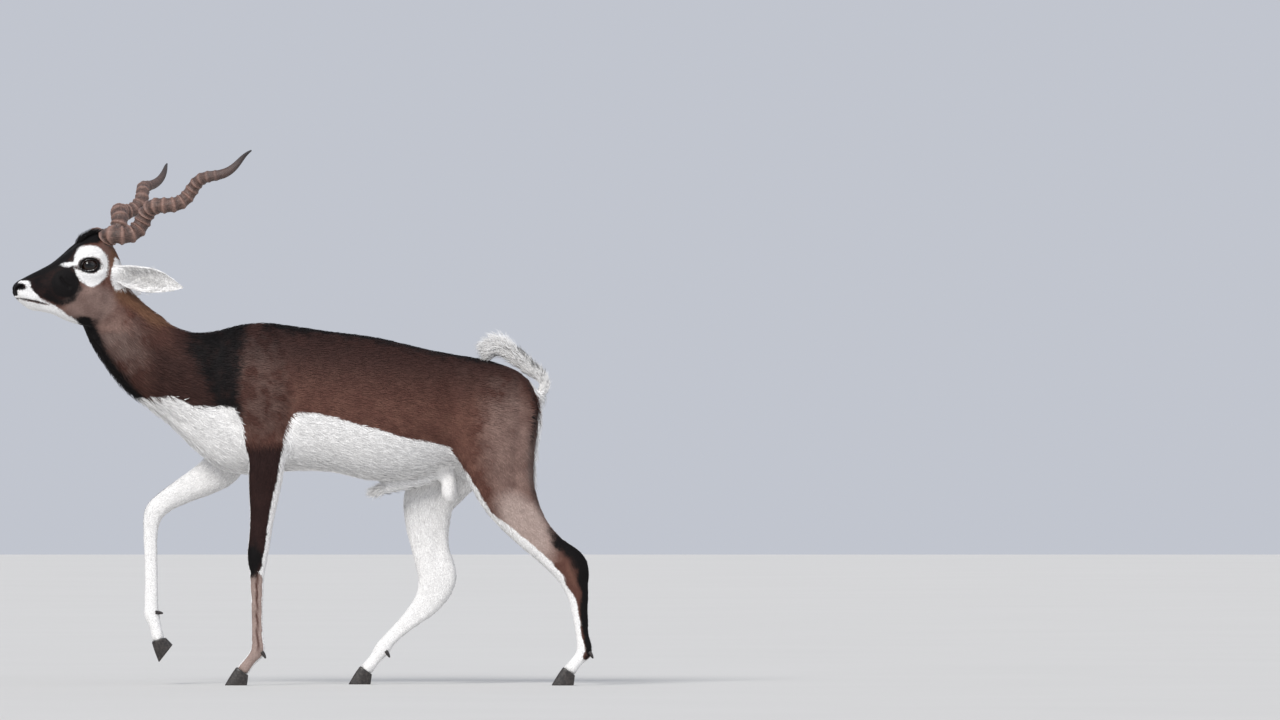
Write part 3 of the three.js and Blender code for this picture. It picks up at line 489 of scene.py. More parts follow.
def leg_places(points):
    """Where each point lies on its nearest leg: which leg, how far down its rows, its share of the
    reach ahead and outwards, and its distance from the leg's line as a share of the reach."""
    best = np.full(len(points), 1e9)
    which, place, ahead, out = (np.zeros(len(points)) for _ in range(4))
    for n, leg in enumerate(LEGS.values()):
        k = nearest(leg["line"], points)
        away = points - leg["line"][k]
        a = (away * leg["ahead"][k]).sum(1)
        o = (away * leg["across"][k]).sum(1)
        r = leg["reach"][k]
        a = a / np.where(a > 0, r[:, 0], r[:, 1])
        o = o / np.where(o > 0, r[:, 2], r[:, 3])
        far = np.hypot(a, o) + 3 * (np.sign(points[:, 1]) != leg["side"])
        nearer = far < best
        best = np.where(nearer, far, best)
        for kept, new in ((which, n), (place, leg["place"][k]), (ahead, a), (out, o)):
            kept[nearer] = new if np.isscalar(new) else new[nearer]
    return which.astype(int), place, ahead, out, best


# Distances from the middle of the head, and what they become when it is swollen
radii = np.linspace(0, 1600, 1601)
swollen = np.cumsum(SWELL - (SWELL - 1) * step(radii, SWELL_FULL, SWELL_END)) - SWELL
points, faces = joined(flesh)
cells = placed("flesh", mesh_of("flesh", rescaled(points, radii, swollen), faces))
remesh = cells.modifiers.new("cells", "REMESH")
remesh.mode = "VOXEL"
remesh.voxel_size = CELL / 1000
mesh = worked_out(cells)
skin_points = rescaled(points_of(mesh), swollen, radii)
edges = edges_of(mesh)

# Where the limbs and the neck grow out of the trunk the flesh runs over without a step.
which, place, ahead, out, apart = leg_places(skin_points)
x, y, z = skin_points.T
hx, hy, hz = from_head(skin_points).T
on_leg = step(place, 4, 6) * step(apart, 1.6, 1.2)
root = step(z, 430, 520) * (1 - on_leg)
behind_jaw = np.linalg.norm(skin_points - on_head(np.array([-84.0, 0, -48])), axis=1)
jaw = step(behind_jaw, 108, 60) * step(hx, -22, -52)
tail_root = step(z, 560, 600) * step(np.abs(y), 24, 14) * step(x, 478, 492)
over_croup = z - np.interp(x, [396, 449, 480], [701, 682, 660])
tail_tip = step(np.abs(y), 16, 11) * step(x, 380, 392) * step(over_croup, 1, 5)
low_parts = step(z, 455, 440) * step(np.abs(y), 30, 22) * step(x, 120, 140) * step(x, 345, 330)
small = np.maximum.reduce([low_parts, tail_root, tail_tip])
blend = 0.1 - 0.07 * on_leg + 0.5 * root * step(from_core(skin_points), 120, 200)
blend = np.clip(blend, 0, 0.6) * (1 - small)
skin_points = relaxed(skin_points, edges, blend, 60)
skin_points = relaxed(skin_points, edges, 0.8 * jaw, 500)
settle(mesh, skin_points)

# Relief: bones, sinews and the furrows between muscles, on the left and the right alike.
x, y, z = skin_points.T
seen = np.stack([x, z], 1)
normal = normals_of(mesh)
lateral = step(np.abs(normal[:, 1]), 0.25, 0.7) * (1 - on_leg)
FURROWS = [  # path seen from the side, width and depth
    ([(-170, 770), (-196, 700), (-190, 610), (-160, 560)], 16, -4.0),
    ([(-62, 760), (-38, 700), (-28, 620), (-36, 545)], 15, -4.0),
    ([(-96, 760), (-122, 690), (-146, 620)], 12, 2.4),
    ([(-146, 612), (-140, 585)], 16, 3.5),
    ([(-66, 640), (-52, 575), (-52, 520)], 14, 2.6),
    ([(318, 640), (318, 570), (330, 520)], 24, -6.0),
    ([(352, 672), (378, 690)], 16, 4.0),
    ([(362, 640), (352, 560), (362, 480)], 14, -2.5),
    ([(456, 650), (462, 560), (450, 470), (452, 420)], 12, -3.0),
    ([(396, 640), (410, 560), (430, 480)], 34, 2.5),
    ([(485, 610), (492, 590)], 14, 3.0),
    ([(-462, 742), (-400, 668), (-330, 600), (-262, 560)], 11, -3.5),
    ([(-402, 800), (-350, 740), (-280, 680)], 22, 2.5),
]
lift = np.zeros(len(x))
for path, width, depth in FURROWS:
    lift += depth * near(path, seen, width) * lateral
RIBS, RIB_FIRST, RIB_GAP = 9, 6, 27
for rib in range(RIBS):
    at = RIB_FIRST + rib * RIB_GAP
    lift += 0.7 * near([(at, 700), (at + 22, 610), (at + 6, 520)], seen, 8) * lateral


def hump(*offsets):
    """A round rise of one that dies away: e to the power of minus the sum of the squares."""
    return np.exp(-sum(offset**2 for offset in offsets))


# On the legs: the hollow before the great sinew, the flat of the cannon, the bone of the hock, and
# the bones of the knee with a groove behind them
hind, fore = (which >= 2) * on_leg, (which < 2) * on_leg
face = np.abs(out)
edge_on = step(face, 0.4, 0.8)
lift += -3.4 * hind * hump((place - 6.9) / 0.7, (ahead + 0.42) / 0.26) * step(face, 0.3, 0.7)
cannon = step(place, 9, 9.8) * step(place, 12, 11.3)
cannon = np.where(which >= 2, cannon, step(place, 9.6, 10.2) * step(place, 12.8, 12))
lift += -1.7 * on_leg * cannon * hump((ahead + 0.25) / 0.2) * step(face, 0.5, 0.85)
lift += 1.4 * hind * hump((place - 8.3) / 0.45, (ahead - 0.35) / 0.4) * edge_on
knee = np.where(which == 1, 9.0, 8.6)
lift += 1.3 * fore * hump((place - knee) / 0.5) * (edge_on + step(ahead, 0.4, 0.9))
lift += -1.2 * fore * hump((place - knee - 0.1) / 0.35, (ahead + 0.3) / 0.25)

# On the head: the brow over the eye, the pit of the face gland, the cheek muscle, the cheekbone,
# the wings of the nostrils, the lips and the roots of the horns
hx, hy, hz = from_head(skin_points).T
flank = np.stack([hx, hz], 1)
cheek = step(np.abs(hy), 8, 18) * step(hx, -95, -75)
in_head = step(from_core(skin_points), 150, 130)
HEAD_RELIEF = [
    ([(-22, 22), (-8, 28), (6, 28), (22, 19)], 10, 2.6),
    ([(-24, -16), (-12, -21), (4, -22), (18, -18), (28, -11)], 5.5, 1.7),
    ([(-30, -34), (-10, -40), (12, -40), (32, -32)], 11, -1.6),
    ([(62, -25), (57, -37), (47, -46)], 10, 2.2),
    ([(63, -26), (57, -37), (47, -46)], 3.0, -4.4),
    ([(88, -40), (62, -60), (34, -64), (2, -58)], 12, 1.8),
    ([(-8, -62), (-32, -92)], 24, 3.2),
    ([(36, -80), (26, -98), (12, -112)], 14, -2.0),
    ([(-46, 10), (-44, -12), (-40, -34)], 14, -2.0),
    ([(100, -26), (76, -20)], 14, -2.6),
    ([(150, -40), (138, -36)], 8, 3.0),
    ([(154, -60), (120, -69)], 6, 2.2),
    ([(150, -74), (118, -82)], 7, 1.6),
    ([(96, -84), (74, -90)], 10, -1.8),
]
for path, width, depth in HEAD_RELIEF:
    lift += depth * near(path, flank, width) * cheek * in_head
lift += 4.0 * hump((hx + 34) / 22, (np.abs(hy) - 19) / 22) * step(hz, 30, 50) * in_head
lift += -2.5 * hump((hx - 20) / 30, hy / 9) * step(hz, 20, 40) * in_head
nose_furrow = hump(hy / 3) * step(hx, 145, 157) * step(hz, -66, -60) * step(hz, -40, -46)
lift += -2.0 * nose_furrow * in_head
skin_points = skin_points + lift[:, None] * normal
skin_points = relaxed(skin_points, edges, np.full(len(x), 0.3), 2)
settle(mesh, skin_points)

# Ears: long leaves rolled into a cup, open to the front and side. Thin gristle under short hair.
# Each is a run of closed sections from under the skin to the tip, joined to the head.
EAR_LENGTH = 152
EAR_ROOT = np.array([-58.0, 38, -15])
EAR_HEADING = unit(np.array([-0.83, 0.53, -0.24]))
EAR_OPEN = np.array([0.5, 0.78, -0.3])
EAR_ARC = 1.15 * np.pi  # how far the cup wraps round
EAR_SUNK = -0.14  # where the ear starts under the skin, as a share of its length
# Half width, depth of the cup and wall along the ear
EAR = [(17, 19, 5.5), (24.5, 19.5, 4), (27.5, 16.5, 3.2), (27.5, 12.5, 2.8)]
EAR += [(22.5, 8.6, 2.4), (13.5, 4.8, 2.0), (2.6, 1.1, 1.2)]
EAR_LINE = [EAR_ROOT - 6 * EAR_HEADING, EAR_ROOT + EAR_LENGTH * EAR_HEADING]


def ear_frame(side=1):
    """The ear's heading, the way its cup opens, and the way across, on the head's own axes."""
    heading = EAR_HEADING * (1, side, 1)
    opening = EAR_OPEN * (1, side, 1)
    opening = unit(opening - (opening @ heading) * heading)
    return heading, opening, np.cross(heading, opening)


def ear_grid(side, rows=48, arc=18):
    """Closed sections of the ear: an outer arc of half width by depth and an inner arc one wall
    inside it. At the root the inner arc bulges out instead and closes the cup."""
    heading, opening, across = ear_frame(side)
    t = np.linspace(EAR_SUNK, 1, rows)
    sizes = refined(EAR, 8)
    w, d, wall = (np.interp(t, np.linspace(0, 1, len(sizes)), c)[:, None] for c in sizes.T)
    w = w * (1 + 1.6 * np.minimum(t, 0))[:, None]
    angle = (np.linspace(0, 1, arc) - 0.5)[None] * EAR_ARC
    curl = 1 + 0.05 * np.sin(7 * t)[:, None] * np.sin(angle)
    hollow = step(t, 0.0, 0.24)[:, None]
    deep = (d - wall) * hollow - 0.45 * d * (1 - hollow)
    outer = (np.sin(angle) * w * curl, -np.cos(angle) * d)
    bulged = np.where(np.cos(angle) > 0, deep, d)
    inner = (np.sin(angle) * (w - 0.6 * wall) * curl, -np.cos(angle) * bulged)
    a = np.concatenate([outer[0], inner[0][:, ::-1]], 1)[..., None] * across
    o = np.concatenate([outer[1], inner[1][:, ::-1]], 1)[..., None] * opening
    reach = EAR_LENGTH * np.where(t > 0, np.maximum(t, 0) ** 0.9, t)
    line = EAR_ROOT * (1, side, 1) + reach[:, None] * heading
    return line[:, None] + a + o


def carve(mesh, other, operation):
    """A mesh joined with, or cut by, another one."""
    body, tool = placed("carved", mesh), placed("tool", other)
    change = body.modifiers.new("change", "BOOLEAN")
    change.object = tool
    change.operation = operation
    change.solver = "MANIFOLD"
    made = worked_out(body)
    bpy.data.objects.remove(tool)
    return made


def outward(name, *shells):
    """A mesh of closed shells in millimetres on the body's axes whose faces all look out."""
    made = mesh_of(name, *joined(shells))
    work = bmesh.new()
    work.from_mesh(made)
    bmesh.ops.recalc_face_normals(work, faces=work.faces)
    work.to_mesh(made)
    work.free()
    return made


mesh = carve(mesh, outward("ears", *(shell(on_head(ear_grid(side))) for side in (1, -1))), "UNION")

# Openings in the skin: the almond between the lids, the nostrils, and the slit of the mouth.
# The lids and lips are bare dark skin at their edge.
LID_HALF, LID_HIGH, LID_LOW = 17.5, 12.8, 10.2
GAZE = 0.3  # how far the eyes look forward of straight out
MOUTH_BACK, MOUTH_LENGTH = 80, 84  # its corner, and how far the lips meet ahead of it
NOSTRIL = np.array([(163, 7, -53), (157, 13, -48), (149, 19, -43), (139, 24, -40)], float)
SOCKET = [(6, 0.9), (12, 0.97), (17, 1.0), (20, 1.05), (23, 1.16), (34, 1.5)]  # depth and size


def folded(points):
    """Points of the body on the head's own axes, those of its right side turned over to the left."""
    points = from_head(points)
    return np.stack([points[:, 0], np.abs(points[:, 1]), points[:, 2]], 1)


def lid_edge(u):
    """The edge between the lids: half width times cos u ahead, and sin u of the height above or
    below, on a line that falls a little to the front."""
    height = np.where(np.sin(u) > 0, LID_HIGH, LID_LOW)
    return LID_HALF * np.cos(u), height * np.sin(u) - 1.5 * np.cos(u) - 0.5


def gaze_ways(side):
    """The way an eye looks, on the head's own axes, and the level way across it to the front."""
    c, s = np.cos(GAZE), np.sin(GAZE)
    return np.array([[s, side * c, 0.0], [c, -side * s, 0.0]])


def gaze_turn(hx, hy):
    """Distance ahead of the middle of the eye, square to its gaze."""
    return np.cos(GAZE) * hx - np.sin(GAZE) * (np.abs(hy) - EYE_MIDDLE[1])


def socket(side):
    """What is cut for one eye: a tapered almond along its gaze, wider outwards."""
    gaze, front = gaze_ways(side)
    fore, up = lid_edge(np.linspace(0, 2 * np.pi, 48, endpoint=False))
    almond = fore[:, None] * front + up[:, None] * Z
    middle = EYE_MIDDLE * (1, side, 1)
    return shell(on_head(np.array([middle + depth * gaze + size * almond for depth, size in SOCKET])))


def nostril(side, steps=4):
    """What is cut for one nostril: a flattened tube, narrower at its ends, along a bent path."""
    line = refined(NOSTRIL * (1, side, 1), steps)
    r = refined([[2.6], [5.6], [5.6], [1.4]], steps)
    heading = unit(np.gradient(line, axis=0))
    across = unit(np.cross(heading, Z))
    return shell(on_head(rings(line, np.cross(across, heading), across, r * [[0.75, 0.75, 1, 1]], sides=14)))


def mouth_level(hx):
    """Height of the line of the mouth: it falls towards its corner along a slight curve."""
    return -67 - 0.21 * (162 - hx) + 1.2 * np.sin(3.0 * (hx - MOUTH_BACK) / MOUTH_LENGTH)


cuts = [cut for side in (-1, 1) for cut in (socket(side), eye_shell(side, EYE_RADIUS + 0.1))]
for cut in cuts + [nostril(-1), nostril(1)]:
    mesh = carve(mesh, outward("cut", cut), "DIFFERENCE")
t = np.linspace(0, 1, 30)[:, None]
at = MOUTH_BACK + MOUTH_LENGTH * t
thin = 0.65 * (0.15 + 0.85 * step(t, 0, 0.12))
lips = np.broadcast_arrays(at, [-60.0, 60, 60, -60], mouth_level(at) + thin * [-1, -1, 1, 1])
slit = outward("slit", shell(on_head(np.stack(lips, -1))))
slit = carve(slit, outward("core", shell(on_head(upright(HEAD, 5, 64)))), "DIFFERENCE")
mesh = carve(mesh, slit, "DIFFERENCE")

# The skin is eased at the cut edges of the lids and lips and at the roots of the ears.
skin_points = points_of(mesh)
edges = edges_of(mesh)
hx, hy, hz = folded(skin_points).T
rim = np.stack(lid_edge(np.linspace(0, 2 * np.pi, 49)), 1)
by_lid = near(rim, np.stack([gaze_turn(hx, hy), hz], 1), 3.0) * step(hy, 36, 42)
by_mouth = hump((hz - mouth_level(hx)) / 2.4) * step(hx, 76, 84)
from_root = np.linalg.norm(folded(skin_points) - EAR_ROOT, axis=1)
by_ear = step(hx, -30, -45) * step(from_root, 40, 22)
eased = np.maximum(0.35 * np.maximum(by_lid, by_mouth), 0.5 * by_ear)
skin_points = relaxed(skin_points, edges, eased, 4)
settle(mesh, skin_points)

# Markings: near black back and flanks, greyer on the haunch and shoulder, a black face with white rings
# round the eyes, and white below and inside the legs. Skin and coat carry the same ones. A few dark marks
# are painted shade: a spot under the jaw, the rear edge and face of the haunch, and the hollow of the ears.


def within(outline, points):
    """How far inside a closed outline each point lies, in mm: the distance to the nearest side,
    less than zero where a ray to the right crosses the outline an even number of times."""
    outline = np.asarray(outline, float)
    sides = list(zip(outline, np.roll(outline, -1, 0)))
    best = np.minimum.reduce([gaps(a, b, points) for a, b in sides])
    inside = np.zeros(len(points), bool)
    for a, b in sides:
        over = (a[1] > points[:, 1]) != (b[1] > points[:, 1])
        at = a[0] + (points[:, 1] - a[1]) * (b[0] - a[0]) / (b[1] - a[1] if b[1] != a[1] else 1e-9)
        inside ^= over & (points[:, 0] < at)
    return np.where(inside, 1, -1) * np.sqrt(best)


def oval(points, x, z, long, high, turn=0.0):
    """About how far inside an oval each point lies, in mm: the shorter half size times one less
    the point's distance from the middle as a share of the oval's own."""
    dx, dz = points[:, 0] - x, points[:, 1] - z
    c, s = np.cos(turn), np.sin(turn)
    far = np.hypot((dx * c + dz * s) / long, (dz * c - dx * s) / high)
    return min(long, high) * (1 - far)


# The edge of the white along the trunk, and how it goes on down the front of the left hind leg
WHITE_BELOW = [(-520, 613), (-378, 615), (-282, 619), (-239, 598), (-163, 598), (-60, 594), (-19, 587)]
WHITE_BELOW += [(30, 583), (84, 568), (202, 535), (306, 512), (338, 467), (367, 424), (396, 374), (453, 331)]
SHIN_X, SHIN_Z = np.transpose([(589, 138), (553, 238), (510, 282)] + WHITE_BELOW[:-5:-1])
# Outlines of patches: on the head's own axes from its side, and on the body's
CHIN = [(172, -70), (150, -46), (133, -36), (124, -54), (106, -69), (90, -78), (70, -88), (42, -105)]
CHIN += [(14, -121), (-2, -134), (30, -150), (172, -112)]
DARK_FACE = [(170, -20), (160, -52), (140, -62), (112, -66), (84, -76), (60, -84), (34, -76)]
DARK_FACE += [(20, -50), (26, -34), (32, -2), (30, 22), (6, 50), (-24, 52), (-46, 90), (60, 110), (170, 40)]
BLAZE = [(170, -12), (158, -36), (130, -30), (100, -20), (66, -4), (44, 8), (34, 24), (14, 44)]
BLAZE += [(-20, 48), (-44, 60), (-56, 90), (60, 110), (170, 40)]
BAND = [(-250, 800), (-120, 810), (-138, 730), (-150, 640), (-140, 585), (-196, 592), (-222, 660)]
BAND += [(-262, 730)]
RUMP = [(-20, 662), (24, 652), (46, 620), (61, 575), (67, 520), (69, 450), (69, 400), (-20, 380)]
NAPE = [(-410, 860), (-352, 842), (-308, 800), (-286, 775), (-318, 770), (-356, 796), (-400, 824)]


def markings(points, normal):
    """How much white, black and rufous, and what share of grey and of deep brown, the coat has at
    each point. The first three are 0.5 at the edge of a patch, more inside it, less outside; an
    edge is some 10 mm wide, or wider where it is soft."""
    x, y, z = points.T
    aside = np.abs(y)
    seen = points[:, [0, 2]]
    hx, hy, hz = folded(points).T
    face = np.stack([hx, hz], 1)
    which, place, ahead, out, apart = leg_places(points)
    hind = which >= 2
    angle = np.degrees(np.arctan2(out, ahead))  # 0 ahead, 90 outwards, 180 behind
    angle = np.where(angle < -90, angle + 360, angle)
    reach_here = np.interp(place, [3, 6, 9, 12], [60, 38, 19, 15])
    head = step(hx, -98, -84) * step(from_core(points), 195, 170) * step(hz, -148, -134)
    outside = step(aside, 40, 55)

    # White: under the trunk up to the edge, but for the brown of the forelegs, and the buttocks
    white = np.interp(x, *np.transpose(WHITE_BELOW)) - z
    column_front = x - np.interp(z, [470, 525, 568, 610], [-120, -127, -137, -160])
    column_rear = np.interp(z, [470, 492, 535, 572, 610], [-70, -60, -45, -30, 0]) - x
    column = np.minimum(column_front, column_rear) - 60 * (1 - outside)
    white = np.minimum(white, -column)
    turned = normal[:, 0] - 0.32 - np.where(y > 0, 0.26, 0.52) * np.clip((aside - 22) / 20, 0, 1)
    rear = step(turned, -0.09, 0.09) * step(x, 400, 440)
    rump = within(RUMP, np.stack([aside, z], 1))
    white = np.maximum(white, np.minimum(rump, 20) * rear + 40 * (rear - 1))
    # The legs are brown between two angles on their outer face and white round the rest
    front = np.interp(place, [3, 6, 9], [6, 12, 16])
    front = np.where(hind, np.interp(place, [3, 7, 8.5, 9.5, 12], [30, 34, 44, 84, 92]), front)
    front = front - 24 * (which == 1) * step(place, 6, 8)
    back = np.interp(place, [2.5, 4, 6, 9, 10], [168, 146, 126, 122, 116])
    back = np.where(hind, np.interp(place, [3, 5, 9, 12], [174, 178, 172, 158]), back)
    on_leg = -np.minimum(angle - front, back - angle) / 57.3 * reach_here * 1.1
    knee_at = np.where(which == 1, 9.9, 9.3)
    cannon = np.where(hind, step(place, 12.4, 13.4), step(place, knee_at + 0.1, knee_at + 0.7))
    shin = 0.7 * (np.interp(z, SHIN_Z, SHIN_X) - x)
    on_leg = np.where((which == 2) & (place < 12), np.maximum(on_leg, shin), on_leg)
    cream = cannon * ~hind * step(angle, 12, 34) * step(angle, 160, 138)
    on_leg = on_leg + cannon * np.where(hind, 30, 40 - 60 * cream)
    fore_blend = step(place, 2.6, 3.6) * step(apart, 1.45, 1.15) * step(z, 540, 500)
    blend = np.where(hind, step(place, 3.2, 4.2) * step(apart, 1.5, 1.2), fore_blend)
    white = white * (1 - blend) + on_leg * blend
    low = np.where(x > 270, step(z, 585, 555), step(z, 470, 440)) * step(aside, 44, 32)
    inward = step(-normal[:, 1] * np.sign(y), 0.0, 0.4) * step(aside, 5, 12) * step(x, 300, 330)
    low = np.maximum(low * np.where(x > 270, 1, 1 - blend), inward * step(z, 600, 560))
    white = np.maximum(white, -30 + 60 * low)
    # The tail is white with a dark line down its upper side
    tail_k, off_tail, tail_gap = from_tail(points)
    on_tail = step(tail_gap, 19, 13) * step(x, 375, 392) * step(tail_k, 2, 7)
    white = white * (1 - on_tail) + 20 * on_tail
    # White ears, rings round the eyes, muzzle and chin
    ring = oval(face, -1, 0, 38, 44)
    spur = oval(face, 42, 4, 13, 5, -0.15)
    muzzle = np.minimum(oval(face, 150, -44, 22, 20), -30 - hz)
    muzzle = np.where(hz > -56, np.minimum(muzzle, hy - 7), muzzle)
    ear_root = oval(face, -66, -16, 17, 32, 0.3)
    nostril = oval(face, 152, -44, 11, 8, 0.5)
    nose_pad = hx - 156 + 5 * step(hy, 15, 6) + np.where(hz < -63, -20.0, 0.0)
    lid = 4.5 - np.abs(np.hypot(gaze_turn(hx, hy) / (LID_HALF + 3), (hz - 0.5) / 14.5) - 1) * 16
    tear = oval(face, 24, -7, 12, 3.6, 0.35)
    on_face = np.maximum.reduce([ring, spur, muzzle, within(CHIN, face), ear_root])
    off_lips = np.abs(hz + 67 + 0.21 * (162 - hx))
    seam = 1.5 - off_lips + np.where(hx > 84, 0.0, -6.0)
    on_face = np.minimum.reduce([on_face, -nostril, -nose_pad, -lid, -tear, -seam])
    white = white * (1 - head) + on_face * head
    ear = step(near(EAR_LINE, folded(points), 30), 0.22, 0.42) * step(hx, -52, -66)
    facing = normal @ HEAD_TURN
    facing[:, 1] *= np.where(from_head(points)[:, 1] < 0, -1, 1)
    along_ear = (folded(points) - EAR_ROOT) @ EAR_HEADING
    # Less white inside the hollow of the cup: painted shade
    in_cup = step((facing * ear_frame()[1]).sum(1), 0.3, 0.8) * step(along_ear, 120, 60)
    white = white * (1 - ear) + (20 - 17.2 * in_cup) * ear

    # Black: the band before the shoulder, the throat, the topline, the knees and hocks, the face, and
    # painted shade under the jaw and at the rear edge of the haunch
    in_band = within(BAND, seen)
    band = np.minimum(0.22 * in_band, 2.2)
    band = np.where(x > -170, band, np.minimum(band, 0.2 * in_band - 1))
    throat_x = np.interp(z, [530, 593, 632, 679, 729, 772], [-310, -346, -396, -432, -464, -482])
    arch = 0.3 * (-104 - hz - 0.022 * hy**2)
    throat = np.minimum.reduce([0.3 * (34 - np.abs(x - throat_x)), 0.3 * (z - 600), arch])
    topline = np.where((x > -100) & (x < 420) & (normal[:, 2] > 0.6), 0.14 * (34 - aside), -20)
    black = np.maximum.reduce([band, throat, topline])
    carpus = 11 * (1 - np.hypot((place - knee_at + 0.4) / 1.05, (angle - 45) / 72))
    hock = 14 * (1 - np.hypot((place - 8.9) / 2.6, (angle - 150) / 44))
    cannon_back = 9 * (1 - np.hypot((place - 10.6) / 2.2, (angle - 132) / 34))
    on_leg = np.where(hind, np.maximum(hock, cannon_back), carpus)
    black = black * (1 - blend) + on_leg * blend
    # A thin black line where the haunch turns to the rear: painted shade
    rim = np.minimum.reduce([4 - 60 * np.abs(normal[:, 0] - 0.72), 0.3 * (646 - z), 0.2 * (z - 520)])
    black = np.maximum(black, np.where((x > 470) & (aside > 26), rim, -20))
    in_dark = within(DARK_FACE, face)
    gland = oval(face, 55, -38, 26, 28) + 4
    # A black spot under the angle of the jaw: painted shadow
    jaw_shadow_spot = oval(face, 4, -119, 20, 12)
    lip = 2.4 - off_lips + np.where(hx > 96, 0.0, -6.0)
    on_face = [np.minimum(0.5 * in_dark, 0.9), within(BLAZE, face), gland, jaw_shadow_spot]
    on_face = np.maximum.reduce(on_face + [lip, lid, tear, nostril, nose_pad, throat])
    black = black * (1 - head) + on_face * head
    black = black * (1 - ear) - 20 * ear
    upper = (off_tail * tail_top[tail_k]).sum(1) < -3
    tail_dark = np.interp(tail_k, [8, 18, 34, 46], [0, 1, 1, 0]) * 20 - 8
    black = np.where(on_tail > 0.5, np.where(upper, tail_dark, -20), black)
    white = np.where((on_tail > 0.5) & upper, white - tail_dark - 8, white)

    # Rufous nape, and the shares of grey and deep brown
    rufous = 0.5 * np.maximum(within(NAPE, seen), oval(face, -68, 14, 24, 34))
    grey = [
        share * step(oval(where, *shape), -soft, soft)
        for where, share, soft, shape in (
            (seen, 0.27, 26, (440, 500, 60, 125, 0.12)),
            (seen, 0.95, 18, (470, 345, 44, 84, 0.6)),
            (seen, 0.06, 24, (-95, 630, 48, 100, 0.1)),
            (seen, 0.24, 34, (-425, 765, 50, 80, 0.7)),
            (face, 0.36, 14, (-4, -84, 58, 44)),
            (face, 0.24, 12, (20, -104, 40, 14)),
            (face, 0.16, 10, (-48, 30, 26, 40)),
        )
    ]
    streak = step(np.abs(angle - 96), 16, 6) * step(place, 13.4, 12.4)
    grey = np.maximum.reduce(grey) * (1 - (~hind & (blend > 0.5)))
    grey = np.maximum(grey, (1 - streak) * cream * blend * 0.7)
    back_line = z - np.interp(x, [-300, 0, 400], [690, 680, 640])
    low_neck = step(x, -400, -310) * step(x, -150, -220) * step(z - 0.4 * (-300 - x), 775, 700)
    before_band = step(in_band, -85, 0) * step(x, -120, -150)
    on_neck = step(x, -190, -240) * (1 - head)
    shares = [
        0.85 * step(back_line, -90, 55) * step(x, -320, -240),
        0.85 * low_neck * (1 - head),
        ~hind * blend * (1 - 0.6 * cannon),
        0.9 * before_band * (1 - head) * (1 - blend),
        on_neck * (0.6 - 0.35 * step(z + 0.5 * x, 540, 660)),
        0.5 * step(oval(seen, -90, 640, 60, 120), -30, 24),
        0.95 * step(in_dark, -3, 5) * head,
        # Deeper brown where the haunch and hind leg face backwards: painted shade
        0.7 * step(normal[:, 0], 0.4, 0.75) * step(x, 440, 470) * outside * step(z, 330, 380),
    ]
    edged = [mark / 10 + 0.5 for mark in (white, black, rufous)]
    return np.clip(np.stack([*edged, grey, np.maximum.reduce(shares)], 1), -1.5, 2.5)


MARKS = ("white", "black", "rufous", "grey", "deep")
mesh.shade_smooth()
normal = normals_of(mesh)
marks = markings(skin_points, normal)


def attribute(mesh, name, values):
    """A value at each point of a mesh."""
    made = mesh.attributes.new(name, "FLOAT", "POINT")
    made.data.foreach_set("value", values.astype(np.float32))


for mark, values in zip(MARKS, marks.T):
    attribute(mesh, mark, values)


def nodes_of(name):
    """A new material with its node tree emptied."""
    made = bpy.data.materials.new(name)
    made.use_nodes = True
    made.node_tree.nodes.clear()
    return made, made.node_tree


def add(tree, kind, links=(), **settings):
    """A node with its settings, its inputs linked or set by name or number."""
    node = tree.nodes.new("ShaderNode" + kind)
    for key, value in settings.items():
        setattr(node, key, value)
    for socket, value in dict(links).items():
        target = node.inputs[socket]
        if isinstance(value, bpy.types.NodeSocket):
            tree.links.new(value, target)
        else:
            target.default_value = value
    return node


def mixed(tree, share, first, second, **settings):
    """The second colour over the first by a share."""
    return add(tree, "Mix", {0: share, 6: first, 7: second}, data_type="RGBA", **settings).outputs[2]


def noise(tree, scale, detail):
    """Noise by the place on the piece."""
    place = add(tree, "TexCoord").outputs["Object"]
    return add(tree, "TexNoise", {"Vector": place, "Scale": scale, "Detail": detail}).outputs[0]


def kept(tree, name):
    """A value that the points of the mesh carry."""
    return add(tree, "Attribute", attribute_name=name).outputs["Fac"]


def sums(tree, operation, *values, **settings):
    """The result of a sum on values."""
    return add(tree, "Math", dict(enumerate(values)), operation=operation, **settings).outputs[0]


def spread(tree, value, low=0.0, high=1.0, to_low=0.0, to_high=1.0, **settings):
    """A value from one range laid over another."""
    ends = dict(enumerate((value, low, high, to_low, to_high)))
    return add(tree, "MapRange", ends, **settings).outputs[0]


def finished(tree, colour, roughness, bump=(), **others):
    """Ends a material with its surface. A bump is a height, its strength and its depth in metres."""
    shader = add(tree, "BsdfPrincipled", {"Base Color": colour, "Roughness": roughness})
    for name, value in others.items():
        shader.inputs[name.replace("_", " ")].default_value = value
    if bump:
        rough = add(tree, "Bump", dict(zip(("Height", "Strength", "Distance"), bump)))
        tree.links.new(rough.outputs[0], shader.inputs["Normal"])
    add(tree, "OutputMaterial", {0: shader.outputs[0]})


# Hair colours
BROWN = (0.105, 0.047, 0.036, 1)
PALE_BROWN = (0.165, 0.081, 0.060, 1)
DEEP_BROWN = (0.024, 0.0115, 0.0105, 1)
BLACK = (0.0055, 0.0045, 0.0048, 1)
WHITE = (0.84, 0.83, 0.82, 1)
GREY = (0.42, 0.325, 0.29, 1)
RUFOUS = (0.155, 0.078, 0.047, 1)


